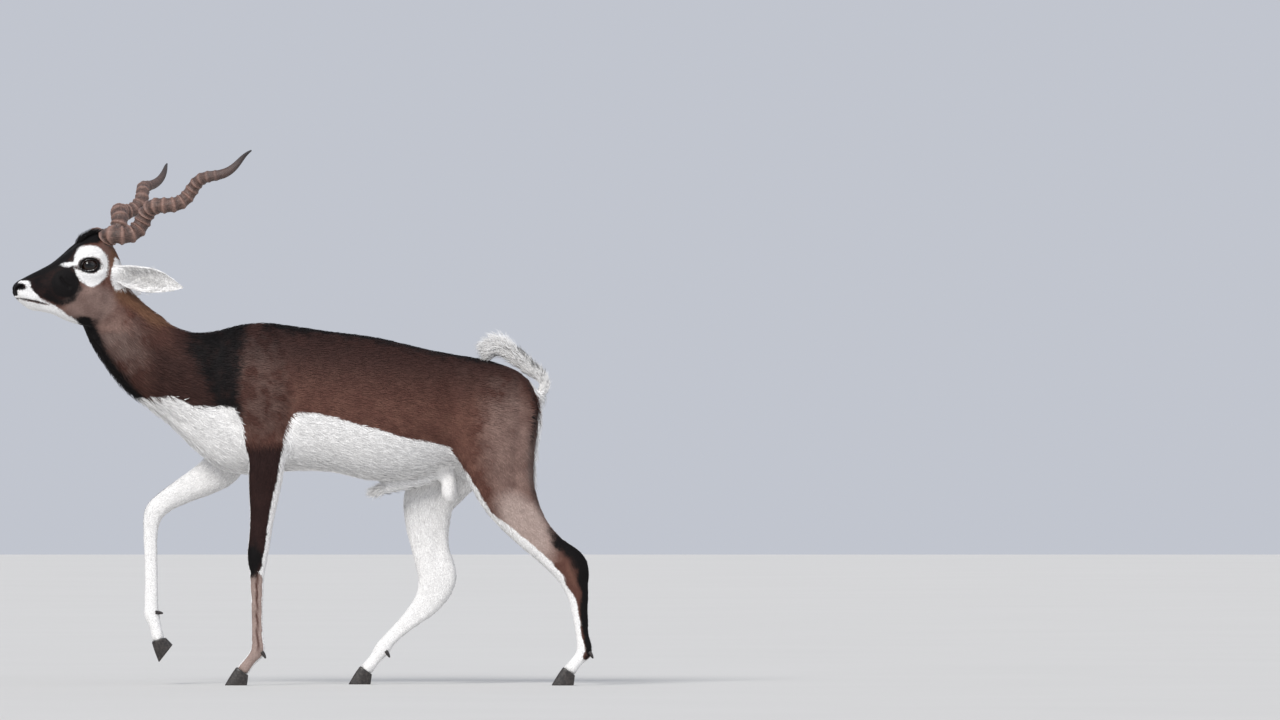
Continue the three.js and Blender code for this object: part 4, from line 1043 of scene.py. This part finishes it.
def hair_material(name, strands):
    """Hair: brown with paler flecks, a share of deep brown and of grey over it, then rufous, black
    and white where their marks pass 0.5, each edge broken up by noise. Fine noise stands for
    single hairs."""
    made, tree = nodes_of(name)
    fine, broad = noise(tree, 420.0, 2.0), noise(tree, 36.0, 3.0)
    colour = mixed(tree, spread(tree, broad, 0.4, 0.75, 0.0, 0.8), BROWN, PALE_BROWN)
    ragged, grain = sums(tree, "ADD", broad, -0.5), sums(tree, "ADD", fine, -0.5)
    for mark, shade in (("deep", DEEP_BROWN), ("grey", GREY)):
        value = kept(tree, mark)
        share = sums(tree, "MULTIPLY_ADD", ragged, 0.7, value)
        share = sums(tree, "MULTIPLY", share, value, use_clamp=True)
        colour = mixed(tree, sums(tree, "POWER", share, 0.5), colour, shade)
    for mark, shade, soft in (("rufous", RUFOUS, 0.5), ("black", BLACK, 0.3), ("white", WHITE, 0.2)):
        edge = sums(tree, "MULTIPLY_ADD", ragged, 0.9, kept(tree, mark))
        edge = sums(tree, "MULTIPLY_ADD", grain, 0.7, edge)
        share = spread(tree, edge, 0.5 - soft, 0.5 + soft, interpolation_type="SMOOTHSTEP")
        colour = mixed(tree, share, colour, shade)
    tone = spread(tree, fine, 0.25, 0.75, 0.75, 1.2)
    colour = mixed(tree, 1.0, colour, tone, blend_type="MULTIPLY")
    if strands:
        light = spread(tree, kept(tree, "lot"), 0.0, 1.0, 0.74, 1.18)
        # Each blade is darker at its root and lighter towards its tip: painted shade of the coat over its
        # roots; the lot is a random tone of each blade
        light = sums(tree, "MULTIPLY_ADD", kept(tree, "share"), 0.25, light)
        colour = mixed(tree, 1.0, colour, light, blend_type="MULTIPLY")
    soft_light = dict(Specular_IOR_Level=0.1, Sheen_Weight=0.02, Sheen_Roughness=0.4)
    finished(tree, colour, 0.6, () if strands else (fine, 0.5, 0.002), **soft_light)
    return made


def set_out(name, mesh, material, slot, *nodes):
    """A finished piece of the figure in its place."""
    mesh.materials.clear()
    mesh.materials.append(material)
    piece = placed(name, mesh)
    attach(piece, "root")
    if nodes:
        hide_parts(*nodes)


LEG_PARTS = ["shoulder", "forearm", "fore_cannon", "fore_pastern"]
LEG_PARTS += ["haunch", "shank", "hind_cannon", "hind_pastern"]
FLESH_NODES = ["torso", "neck", "head", "ear_left", "ear_right", "tail", "sheath", "scrotum"]
FLESH_NODES += [f"{part}_{side}" for side in ("left", "right") for part in LEG_PARTS]
set_out("skin", mesh, hair_material("short_hair", False), "brown_coat", *FLESH_NODES)

# Eyes: dark brown balls with a level pupil, wet and bright.
# Each is a ball that fills the socket behind the lids; the pupil lies across its gaze.
for name, side in (("left", 1), ("right", -1)):
    made, tree = nodes_of(f"eye_{name}")
    colour = mixed(tree, kept(tree, "pupil"), (0.014, 0.0065, 0.004, 1), (0.0012, 0.0012, 0.0016, 1))
    finished(tree, colour, 0.06, Specular_IOR_Level=0.4)
    eye = outward(f"eye_{name}", eye_shell(side, EYE_RADIUS))
    hx, hy, hz = from_head(points_of(eye)).T
    attribute(eye, "pupil", step(np.hypot(gaze_turn(hx, hy) / 10, hz / 6), 1.15, 0.85))
    set_out(f"eyeball_{name}", eye, made, "eye", f"eye_{name}")

# Horns: a sheath of horn over a bony core, ringed for four fifths of its length and wound round
# its own line. The tips are smooth.
HORN_BASE = np.array([-40.0, 20, 48])
HORN_TIP = np.array([-302.0, 235, 232])
HORN_RADIUS, HORN_PITCH, HORN_SWING, HORN_RINGS, RINGED = 20, 125, 15, 19, 0.8


def horn_grid(side, steps=420, sides=40):
    """Rings along the horn. Its line swings off the straight axis by a turn of a screw that dies
    towards the tip; its radius falls to the tip and rises by a ninth on each ring, steeper on the
    side of the root."""
    base = HORN_BASE * (1, side, 1)
    axis = HORN_TIP * (1, side, 1) - base
    length = np.linalg.norm(axis)
    axis = axis / length
    outer = unit(side * Y[0] - side * (Y[0] @ axis) * axis)
    front = np.cross(axis, outer)
    front = front * np.sign(front[0])

    def line(s):
        t = np.maximum(s / length, 0)
        phase = 2 * np.pi * (s - 13) / HORN_PITCH
        swing = (HORN_SWING * (1 - 0.65 * t) * step(t, 0, 0.1))[:, None]
        winding = np.cos(phase)[:, None] * front + np.sin(phase)[:, None] * outer
        return base + s[:, None] * axis + swing * winding

    s = np.concatenate([[-26.0], np.linspace(-8, length - 0.5, steps)])
    t = np.maximum(s / length, 0)
    turn = s * HORN_RINGS / (RINGED * length)
    saw = (np.cos(2 * np.pi * turn + 0.5 * np.sin(2 * np.pi * turn)) + 1) / 2
    ridge = saw**1.25 * 0.2 - 0.09
    ridge = ridge * step(s, 0, 8) * step(t, RINGED + 0.02, RINGED - 0.06) * (1 - 0.55 * t)
    fine = 0.012 * np.sin(2 * np.pi * 4.5 * turn) * step(t, 0.9, 0.7)
    radius = HORN_RADIUS * (1 - 0.42 * t - 0.5 * t**5) * (1 + ridge + fine)
    heading = unit(line(s + 1) - line(s - 1))
    over = unit(front - (heading @ front)[:, None] * heading)
    across = np.cross(heading, over)
    a = np.linspace(0, 2 * np.pi, sides, endpoint=False)[None]
    flute = 1 + 0.016 * np.sin(9 * a + 8 * t[:, None]) + 0.014 * np.sin(13 * a - 5 * t[:, None])
    flute = flute + 0.02 * np.cos(a - 2 * np.pi * s[:, None] / HORN_PITCH) * step(t, 0.02, 0.1)[:, None]
    r = radius[:, None] * flute
    grid = (r * np.cos(a))[..., None] * over[:, None] + (r * np.sin(a))[..., None] * across[:, None]
    return line(s)[:, None] + grid, np.repeat(t, sides), np.repeat(ridge, sides)


# Dark red-brown ridges with the furrows between them darkened to blackish as painted shade, streaked along
# the horn by its grain, blackish at the tip
horn_look, tree = nodes_of("horn")
lines = {"W": kept(tree, "around"), "Scale": 26.0, "Detail": 3.0}
lines = add(tree, "TexNoise", lines, noise_dimensions="1D").outputs[0]
# Paler on the ridges and darker in the furrows: painted shade; the streaks and noise are the horn's own
# grain
grain_and_furrow_shade = spread(tree, kept(tree, "ridge"), -0.09, 0.09)
grain_and_furrow_shade = sums(tree, "MULTIPLY_ADD", lines, 0.8, grain_and_furrow_shade)
grain_and_furrow_shade = sums(tree, "MULTIPLY_ADD", noise(tree, 160.0, 4.0), 1.3, grain_and_furrow_shade)
grain_and_furrow_shade = spread(tree, grain_and_furrow_shade, 0.75, 2.1)
colour = mixed(tree, grain_and_furrow_shade, (0.03, 0.017, 0.014, 1), (0.25, 0.145, 0.115, 1))
tip = spread(tree, kept(tree, "along"), 0.62, 0.98)
finished(tree, mixed(tree, tip, colour, (0.035, 0.03, 0.032, 1)), 0.5, (grain_and_furrow_shade, 0.7, 0.002))

for name, side in (("left", 1), ("right", -1)):
    grid, along, ridge = horn_grid(side)
    horn = outward(f"horn_{name}", shell(on_head(grid)))
    rows, sides = grid.shape[:2]
    around = np.tile(np.abs(np.linspace(-1, 1, sides)), rows) + 0.25 * np.sin(3 * along)
    for mark, values, tip in (("along", along, 1), ("ridge", ridge, 0), ("around", around, 0)):
        attribute(horn, mark, np.concatenate([values, [0, tip]]))
    set_out(f"horn_sheath_{name}", horn, horn_look, "horn", f"horn_{name}")

# Hooves: two narrow claws to a foot and two small dewclaws behind the fetlock, of hard black horn.
# A claw is a stack of ovals drawn out to the toe; a dewclaw is a short blunt cone.
CLAW_GAP, CLAW_HALF = 1.2, 8.6
hoof_look, tree = nodes_of("hoof")
grain = noise(tree, 240.0, 4.0)
colour = mixed(tree, spread(tree, grain, 0.35, 0.7), (0.012, 0.010, 0.010, 1), (0.055, 0.046, 0.042, 1))
finished(tree, colour, 0.38, (grain, 0.35, 0.001))


def from_fetlock(leg, x, side, z):
    """Points given behind, outside and above the fetlock of a leg, once its foot is flexed."""
    at_x, at_z, at_side = leg["fetlock"][:3]
    x, z = turned_back(x, z, leg["flex"])
    return np.stack(np.broadcast_arrays(at_x + x, leg["side"] * (at_side + side), at_z + z), -1)


def claw_grid(leg, inner, sides=44, rows=22):
    """Sections of a claw from the coronet to the sole: each an oval drawn out to the toe, whose
    edge curls under at the sole, square to the pastern above and level below."""
    offset = (-1 if inner else 1) * (CLAW_HALF + CLAW_GAP)
    t = np.concatenate([np.linspace(0, 0.97, rows), [0.985, 1.0]])[:, None]
    tilt = np.arctan2(11.0, 15.0) * (1 - t) ** 1.5
    x = -31 - 11 * t
    z = -44 - 30 * t
    curl = 1 - 0.05 * step(t, 0.96, 1.0) - 0.035 * np.cos(np.pi * np.clip(t / 0.12, 0, 1)) * (t < 0.12)
    fore = (16 + 12 * t) * curl
    behind = (14.5 + 5.5 * t**1.5) * curl
    a = np.linspace(0, 2 * np.pi, sides, endpoint=False)[None]
    along = np.cos(a) * np.where(np.cos(a) > 0, fore, behind)
    taper = 1 - 0.45 * t * np.maximum(np.cos(a), 0) ** 2
    over = np.sign(np.sin(a)) * np.abs(np.sin(a)) ** (2 / 2.6) * CLAW_HALF * taper * curl
    x, z = x - along * np.cos(tilt), z + along * np.sin(tilt)
    return from_fetlock(leg, x, offset + over, z)


def dewclaw_grid(leg, offset):
    """Rings of a dewclaw, whose line bends down and in behind the fetlock."""
    u = np.linspace(0, 1, 7)
    line = from_fetlock(leg, leg["fetlock"][4] - 9 + 8 * u, offset, -2 - 13 * u**1.2)
    heading = unit(np.gradient(line, axis=0))
    reach = 5.4 * np.sqrt(1 - 0.8 * u[:, None] ** 2) * [[0.8, 0.8, 1.0, 1.0]]
    return domed(rings(line, np.cross(heading, Y), Y, reach, sides=20), True, 1.5 * heading[-1])


for key, leg in LEGS.items():
    end, side = key.split("_")
    for hand in ("outer", "inner"):
        claw = outward("claw", shell(claw_grid(leg, hand == "inner")))
        set_out(f"{end}_claw_{side}_{hand}", claw, hoof_look, "hoof", f"{end}_hoof_{side}_{hand}")
for key, leg in LEGS.items():
    dewclaws = outward("dewclaws", *(shell(dewclaw_grid(leg, offset)) for offset in (-8.5, 8.5)))
    set_out(f"dewclaws_{key}", dewclaws, hoof_look, "hoof")

# Coat: short hair in tufts that lie back along the body, over every part of the skin but the edges
# of the eyes, nostrils and mouth. Each tuft is a thin closed blade of three sides.
SEED = 4349
PATCH = 0.003  # side of a blade's patch as a share of the map


def flow(points):
    """The way the hair lies: back and down along the trunk, down the neck and the legs, back over
    the head from the nose, and along the tail. Each way counts by how near its part is."""
    x, y, z = points.T
    hx, hy, hz = from_head(points).T
    which, place, ahead, out, apart = leg_places(points)
    way = np.array([1.0, 0, -0.22]) - step(z, 620, 520)[:, None] * [0, 0, 0.12]
    k = nearest(neck_line, points)
    along_neck = unit(np.gradient(neck_line, axis=0))[k] + 0.25 * np.array([1.0, 0, -0.4])
    on_neck = (step(x, -150, -250) * step(z, 440, 520))[:, None]
    way = way * (1 - on_neck) + along_neck * on_neck
    down = np.zeros_like(points)
    for n, leg in enumerate(LEGS.values()):
        mine = which == n
        k = nearest(leg["line"], points[mine])
        down[mine] = leg["heading"][k] - 0.12 * leg["ahead"][k]
    limb = (step(place, 1.5, 5) * step(apart, 1.7, 1.0))[:, None]
    way = way * (1 - limb) + down * limb
    hang = (step(hx, -30, -80) * step(hz, 40, -20))[:, None]
    over_face = np.array([[-1.0, 0, 0.05]]) * (1 - hang) + np.array([[-0.45, 0, -0.9]]) * hang
    on_face = (step(from_core(points), 175, 135) * step(hx, -88, -60))[:, None]
    way = way * (1 - on_face) + over_face @ HEAD_TURN.T * on_face
    tail_k, off_tail, tail_gap = from_tail(points)
    on_tail = (step(tail_gap, 20, 13) * step(tail_k, 6, 14))[:, None]
    way = way * (1 - on_tail) + tail_heading[tail_k] * on_tail
    return way, on_face[:, 0], limb[:, 0] * step(place, 3, 6), place, which


def blades(roots, normal, way, length, width, lift, rng, sway=0.14, rows=(0.0, 0.45), curl=0.0):
    """Closed blades: rings of three points and a tip. A blade goes from its root by its length
    times t along its way, rises by lift times t(2 - t) along the normal and swings by t squared to
    one side. It is widest at its middle, and its ridge stands a third of its width proud."""
    count = len(roots)
    side = unit(np.cross(normal, way))
    lean = rng.normal(0, sway, count)[:, None]
    way = unit(way + lean * side)
    side = unit(np.cross(normal, way))
    swing = rng.normal(0, sway, count)[:, None]
    t = np.array([*rows, 1.0])[:, None, None]
    path = length[:, None] * (t * way + lift[:, None] * t * (2 - t) * normal + swing * t * t * side)
    path = roots - 0.8 * normal + path - curl * length[:, None] * t**2.5 * normal
    girth = np.array([0.75 + 0.25 * np.sin(np.pi * min(r / 0.9, 1)) - 0.45 * r for r in rows])
    wide = girth[:, None, None] * width[:, None]
    left, right, top = -0.5 * wide * side, 0.5 * wide * side, 0.33 * wide * normal
    body = np.stack([path[:-1] + left, path[:-1] + right, path[:-1] + top], 2)
    points = np.concatenate([body.transpose(1, 0, 2, 3).reshape(count, -1, 3), path[-1][:, None]], 1)
    faces = [(0, 2, 1)]
    last = 3 * (len(rows) - 1)
    for ring in range(0, last, 3):
        for a, b in ((0, 2), (2, 1), (1, 0)):
            faces += [(ring + b, ring + a, ring + 3 + b), (ring + 3 + b, ring + a, ring + 3 + a)]
    faces += [(last + 2, last, last + 3), (last + 1, last + 2, last + 3), (last, last + 1, last + 3)]
    turned = np.concatenate([np.tile([(-0.55,), (0.55,), (0.0,)], (len(rows), 1)), [(0.0,)]])
    shading = unit(normal[:, None] + turned * side[:, None])
    share = np.concatenate([np.repeat(rows, 3), [1.0]])
    return points, np.array(faces), shading, share


def hair_piece(name, made, marks, lot, at, slot, even=True):
    """One piece of coat from its blades: the marks of each root, a value of its own for each blade,
    and the map for baking, where each blade is a small patch at its root's place. An even piece is
    shaded like the skin under it."""
    points, faces, shading, share = made
    count, each = points.shape[:2]
    every = (faces[None] + each * np.arange(count)[:, None, None]).reshape(-1, 3)
    mesh = mesh_of(name, points.reshape(-1, 3), [every])
    for mark, values in zip(MARKS + ("lot",), [*marks.T, lot]):
        attribute(mesh, mark, np.repeat(values, each))
    # How far along its blade each point lies; the material darkens the roots by it as painted shade
    attribute(mesh, "share", np.tile(share, count))
    corner = [(0.1, 0.1), (0.9, 0.1), (0.5, 0.9), (0.1, 0.9), (0.9, 0.9), (0.5, 0.2), (0.5, 0.5)]
    corner = np.resize(corner, (each, 2)) * PATCH
    patch = np.clip(at, 0, 1)[:, None] * 0.99 + PATCH + corner
    mapped = mesh.uv_layers.new(name="OFBake")
    mapped.data.foreach_set("uv", patch.reshape(-1, 2)[every.ravel()].astype(np.float32).ravel())
    if even:
        mesh.normals_split_custom_set_from_vertices(shading.reshape(-1, 3))
    set_out(name, mesh, coat_hair, slot)


coat_hair = hair_material("coat_hair", True)
mesh.calc_loop_triangles()
corners = read(mesh.loop_triangles, "vertices", 3, np.int32)
a, b, c = (skin_points[corners[:, n]] for n in range(3))
area = np.linalg.norm(np.cross(b - a, c - a), axis=1) / 2
middle = (a + b + c) / 3
normal = normals_of(mesh)
facing = unit(normal[corners].sum(1))
way, on_face, on_limb, place, which = flow(skin_points)

# Length, width and number to a square millimetre of the tufts at each point of the skin
mirrored = folded(skin_points)
hx, hy, hz = mirrored.T
x, y, z = skin_points.T
length = 14 + 3 * step(x, -150, -260) + 5 * hump((x + 330) / 90) * step(normal[:, 0], 0.2, -0.5)
length = length + 4 * step(normal[:, 2], -0.3, -0.9) - 2.5 * step(x, 380, 460)
length = length * (1 - on_limb) + np.interp(place, [4, 7, 9, 12], [11, 8, 6, 5]) * on_limb
soft_parts = step(z, 478, 462) * step(np.abs(y), 34, 26) * step(x, 268, 282) * step(x, 350, 338)
length = length * (1 - soft_parts) + 5 * soft_parts
face_length = np.interp(hx, [-85, -50, 0, 60, 120, 160], [9, 7, 5, 4.2, 3.4, 2.4])
length = length * (1 - on_face) + face_length * on_face
width = np.interp(length, [2.4, 5, 9, 14, 20], [0.7, 0.95, 1.35, 2.0, 2.4])
COVER = 1.62  # how much of the skin the blades would cover if each filled its length by its width
number = COVER / (length * width)

# Bare: the eye, the lips, the nostrils, under the horns and inside the coronets
bare = (np.hypot(gaze_turn(hx, hy) / (LID_HALF + 1), (hz + 0.5) / 13) < 1.1) & (hy > 30)
bare |= (np.abs(hz - mouth_level(hx)) < 1.4) & (hx > 76)
bare |= near(NOSTRIL, mirrored, 6.5) > 0.45
bare |= (hx > 158) & (hz > -64)
up = unit(HORN_TIP - HORN_BASE)
away = mirrored - HORN_BASE
along = away @ up
from_horn = np.linalg.norm(away - along[:, None] * up, axis=1)
bare |= (from_horn < HORN_RADIUS + 1) & (np.abs(along) < 40)
last_row = np.array([leg["place"][-1] for leg in LEGS.values()])[which]
bare |= (on_limb > 0.5) & (place > last_row - 0.45)
number[bare] = 0
along_ear = (mirrored - EAR_ROOT) @ EAR_HEADING
in_ear = (near(EAR_LINE, mirrored, 30) > 0.4) & (hx < -62) & (along_ear > 6)
to_side = np.sign(from_head(skin_points)[:, 1])[:, None]
ear_way = EAR_HEADING * (1, 0, 1) + to_side * EAR_HEADING * (0, 1, 0)
way = np.where(in_ear[:, None], ear_way @ HEAD_TURN.T, way)
length = np.where(in_ear, 4.5, length)
width = np.where(in_ear, 0.9, width)
before_tip = step(along_ear, 0.975 * EAR_LENGTH, 0.94 * EAR_LENGTH)
number = np.where(in_ear, 0.26 * before_tip, number)

# Regions of the coat, each unrolled about its own line for the map
head_tri = on_face[corners].mean(1) > 0.5
mid_x, mid_y, mid_z = from_head(middle).T
ear_tri = in_ear[corners].any(1)
limb_tri = on_limb[corners].mean(1) > 0.5
tail_k, off_tail, tail_gap = from_tail(middle)
tail_tri = (tail_gap < 15) & (tail_k > 10)
body_tri = ~(head_tri | ear_tri | limb_tri | tail_tri)
PARTS = (("fore", -215, 30), ("mid", 30, 280), ("rear", 280, 1000))  # of the trunk, from and to
REGIONS = []
for side, sign in (("left", 1), ("right", -1)):
    mine = np.where(head_tri, mid_y > 0, middle[:, 1] < 0) == (sign > 0)
    for part, low, high in PARTS:
        chosen = body_tri & mine & (middle[:, 0] >= low) & (middle[:, 0] < high)
        REGIONS.append((f"trunk_{part}_{side}", chosen, "trunk"))
    REGIONS.append((f"neck_{side}", body_tri & mine & (middle[:, 0] < PARTS[0][1]), "neck"))
    REGIONS.append((f"face_{side}", mine & head_tri & ~ear_tri, "head"))
    REGIONS.append((f"ear_{side}", ear_tri & (sign * mid_y > 0), "ear"))
for n, key in enumerate(LEGS):
    mine = limb_tri & (which[corners[:, 0]] == n)
    REGIONS.append((key, mine & ~ear_tri & ~head_tri, "leg"))


def unrolled(points, kind):
    """Each root's place on its region's unwrap: its share of the way along the region's line, and
    its turn about that line as a share of a full turn, half of one on a piece for one side."""
    x, y, z = points.T
    hx, hy, hz = folded(points).T
    if kind == "trunk":
        return np.stack([(x + 260) / 850, np.arctan2(np.abs(y), z - 640) / np.pi], 1)
    if kind == "neck":
        k = nearest(neck_line, points)
        away = points - neck_line[k]
        turn = np.arctan2(np.abs(away[:, 1]), (away * unit(nape - throat)[k]).sum(1)) / np.pi
        return np.stack([k / len(neck_line), turn], 1)
    if kind == "head":
        return np.stack([(hx + 90) / 255, np.arctan2(hy, hz + 35) / np.pi], 1)
    if kind == "ear":
        away = folded(points) - EAR_ROOT
        heading, opening, across = ear_frame()
        turn = np.arctan2(away @ across, away @ opening) / (2 * np.pi) + 0.5
        return np.stack([(away @ heading) / EAR_LENGTH, turn], 1)
    which, place, ahead, out, apart = leg_places(points)
    return np.stack([place / 18, np.arctan2(out, ahead) / (2 * np.pi) + 0.5], 1)


def sown(weight, at, rng):
    """Places on the triangles of the skin, one for each share of the sum of their weights: the
    corners of the triangle, how much each counts, the place itself and the skin's normal there."""
    triangle = np.searchsorted(np.cumsum(weight), at).clip(0, len(weight) - 1)
    r = rng.random((len(at), 2))
    r = np.where(r.sum(1, keepdims=True) > 1, 1 - r, r)
    w = np.concatenate([1 - r.sum(1, keepdims=True), r], 1)[..., None]
    tri = corners[triangle]
    return tri, w, (skin_points[tri] * w).sum(1), unit((normal[tri] * w).sum(1))


for order, (name, chosen, kind) in enumerate(REGIONS):
    rng = np.random.default_rng(SEED + order)
    weight = area * number[corners].min(1) * chosen
    count = int(weight.sum())
    at = (np.arange(count) + rng.random(count)) / count * weight.sum()
    tri, w, roots, up = sown(weight, at, rng)
    lie = (way[tri] * w).sum(1)
    lie = unit(lie - (lie * up).sum(1, keepdims=True) * up)
    size = (length[tri] * w[..., 0]).sum(1) * rng.uniform(0.72, 1.25, count)
    wide = (width[tri] * w[..., 0]).sum(1) * rng.uniform(0.75, 1.25, count)
    rise = rng.uniform(0.13, 0.24, count)
    made = blades(roots, up, lie, size, wide, rise, rng)
    slot = "white_coat" if kind == "ear" else "brown_coat"
    root_marks = (marks[tri] * w).sum(1)
    hair_piece(f"coat_{name}", made, root_marks, rng.random(count), unrolled(roots, kind), slot)

# Long hair: the tail's brush, the fringe of the buttocks, the tufts in the ears, between the horns
# and at the end of the sheath, and the lashes. Blades of three rings, a few centimetres long.
LONG = (0.0, 0.34, 0.68)
ALL_WHITE, ALL_BLACK = (2.0, -1.5, -1.5, 0, 0), (-1.5, 2.0, -1.5, 0, 0)
rng = np.random.default_rng(SEED + 100)


def long_hair(name, roots, up, lie, size, wide, rise, at, sway=0.2, curl=0.0, colour=None):
    """A piece of long hair in the colours of the skin at its roots, or in one given."""
    count = len(roots)
    lie = unit(lie - 0.98 * (lie * up).sum(1, keepdims=True) * up)
    made = blades(roots, up, lie, size, np.full(count, wide), rise, rng, sway, LONG, curl)
    own = np.tile(colour, (count, 1)) if colour else markings(roots, up)
    hair_piece(name, made, own, rng.random(count), np.stack(at, 1), "white_coat", even=False)


def scattered(chosen, count):
    """Places spread evenly over the chosen triangles of the skin, and the skin's normal there."""
    weight = area * chosen
    return sown(weight, rng.random(count) * weight.sum(), rng)[2:]


# The tail's brush stands off all round its line, most where the tail curls over
count = 6000
share = rng.random(count) ** 0.75
k = (2 + share * (len(tail_line) - 3)).astype(int)
turn = rng.uniform(0, 2 * np.pi, count)
up = np.cos(turn)[:, None] * tail_top[k] + np.sin(turn)[:, None] * Y
roots = tail_line[k] + 6.5 * up
size = np.interp(share, [0, 0.3, 0.8, 1], [15, 26, 34, 30]) * rng.uniform(0.7, 1.15, count)
rise = np.interp(share, [0, 0.4, 0.85, 1], [0.16, 0.36, 0.62, 0.5]) * rng.uniform(0.4, 1.25, count)
long_hair("tail_brush", roots, up, tail_heading[k], size, 1.5, rise, (share, turn / (2 * np.pi)))

# The fringe hangs down the back of the buttocks
aside = np.abs(middle[:, 1])
rear = (facing[:, 0] > 0.3) & (middle[:, 0] > 400) & (middle[:, 2] > 440) & (middle[:, 2] < 628)
roots, up = scattered(rear & (aside > 6) & (aside < 62), 2600)
size = rng.uniform(16, 30, len(roots))
rise = rng.uniform(0.2, 0.42, len(roots))
at = ((roots[:, 2] - 430) / 210, roots[:, 1] / 130 + 0.5)
long_hair("buttock_fringe", roots, up, [[0.25, 0, -1.0]], size, 1.7, rise, at)

# The tuft at the end of the sheath points forwards and down
count = 520
share = rng.random(count)
turn = rng.uniform(0, 2 * np.pi, count)
up = unit(np.stack([-0.5 * (1 - share), np.sin(turn), np.cos(turn)], 1))
roots = np.array([156.0, 0, 416]) + up * 8.5 + np.outer(share, [22, 0, 6])
size = rng.uniform(16, 30, count)
rise = rng.uniform(0.05, 0.3, count)
at = (share, turn / (2 * np.pi))
long_hair("sheath_tuft", roots, up, [[-0.9, 0, -0.42]], size, 1.5, rise, at, colour=ALL_WHITE)

# The forelock lies back between the horns
roots, up = scattered((np.abs(mid_y) < 17) & (mid_x > -40) & (mid_x < 12) & (mid_z > 42), 900)
hx, hy, hz = from_head(roots).T
size = rng.uniform(12, 24, len(roots))
rise = rng.uniform(0.15, 0.6, len(roots))
at = (hx / 70 + 0.6, hy / 40 + 0.5)
long_hair("forelock", roots, up, (HEAD_TURN @ [-0.9, 0, 0.25])[None], size, 1.2, rise, at)

# The hair in the ears grows from the edges of the cup over its hollow
for name, side in (("left", 1), ("right", -1)):
    heading, opening, across = (v @ HEAD_TURN.T for v in ear_frame(side))
    own = ear_tri & (np.sign(mid_y) == side)
    roots, up = scattered(own & (facing @ opening > 0.25), 620)
    from_root = roots - on_head(EAR_ROOT * (1, side, 1))
    lie = heading - 0.9 * np.sign(from_root @ across)[:, None] * across + 0.3 * opening
    share = from_root @ heading / EAR_LENGTH
    size = rng.uniform(9, 19, len(roots)) * np.interp(share, [0, 0.15, 0.6, 1], [0.8, 1.15, 0.9, 0.35])
    rise = rng.uniform(0.2, 0.6, len(roots))
    at = (share, 0.5 + from_root @ across / 70)
    long_hair(f"ear_hair_{name}", roots, up, lie, size, 0.9, rise, at, colour=ALL_WHITE)
    # The lashes stand in one row along the upper lid
    count = 46
    u = np.linspace(0.35, 2.7, count)
    fore, high = lid_edge(u)
    gaze, front = gaze_ways(side)
    roots = EYE_MIDDLE * (1, side, 1) + (20.6 - 0.0065 * fore**2)[:, None] * gaze
    roots = roots + fore[:, None] * front + (high + 1.2)[:, None] * Z
    up = np.tile(HEAD_TURN @ [0, 0, 1.0], (count, 1))
    lie = (gaze + 0.25 * fore[:, None] / 17 * front) @ HEAD_TURN.T
    size = np.interp(u, [0.35, 1.2, 2.7], [6, 9.5, 7.5]) * rng.uniform(0.85, 1.1, count)
    at = (u / 3.2, np.full(count, 0.5))
    rise = np.full(count, -0.1)
    long_hair(f"lashes_{name}", on_head(roots), up, lie, size, 0.55, rise, at, 0.08, -0.35, ALL_BLACK)

# Stage: a pale floor, an even pale sky, one soft light over the camera's shoulder and a weak one.
# The camera stands level with the middle of the trunk, far off, as with a long lens.
FLOOR_HALF = 30
WIDE, AWAY, SENSOR = 2.752, 45.0, 36.0  # metres across the picture, metres to the buck, chip in mm
floor = bpy.data.meshes.new("floor")
square = [(-FLOOR_HALF, -FLOOR_HALF, 0), (FLOOR_HALF, -FLOOR_HALF, 0)]
square += [(FLOOR_HALF, FLOOR_HALF, 0), (-FLOOR_HALF, FLOOR_HALF, 0)]
floor.from_pydata(square, [], [(0, 1, 2, 3)])
made, tree = nodes_of("floor")
finished(tree, mixed(tree, noise(tree, 1.5, 4.0), (0.60, 0.59, 0.57, 1), (0.64, 0.63, 0.61, 1)), 0.85)
floor.materials.append(made)
placed("floor", floor)

world = bpy.data.worlds.new("studio")
bpy.context.scene.world = world
world.use_nodes = True
world.node_tree.nodes["Background"].inputs[0].default_value = (0.86, 0.9, 1.0, 1)
world.node_tree.nodes["Background"].inputs[1].default_value = 0.62


def sun(name, way, angle, power, colour):
    """Soft even light that comes from the way given, as wide as the angle in degrees."""
    data = bpy.data.lights.new(name, "SUN")
    data.angle, data.energy, data.color = np.radians(angle), power, colour
    made = placed(name, data)
    made.rotation_mode = "QUATERNION"
    made.rotation_quaternion = Vector(way).to_track_quat("Z", "Y")


sun("key", (-0.5, -1.0, 0.85), 24, 2.5, (1.0, 0.98, 0.95))
sun("fill", (0.8, -0.5, 0.5), 50, 0.45, (0.93, 0.96, 1.0))

camera = placed("camera", bpy.data.cameras.new("camera"))
camera.data.sensor_width = SENSOR
camera.data.lens = SENSOR * AWAY / WIDE
camera.data.clip_end = 200
camera.rotation_mode = "XYZ"
camera.location = (0.718 + SHIFT[0] / 1000, -AWAY, 0.697 + SHIFT[2] / 1000)
camera.rotation_euler = (np.pi / 2, 0, 0)
bpy.context.scene.camera = camera
bpy.context.scene.view_settings.view_transform = "Standard"
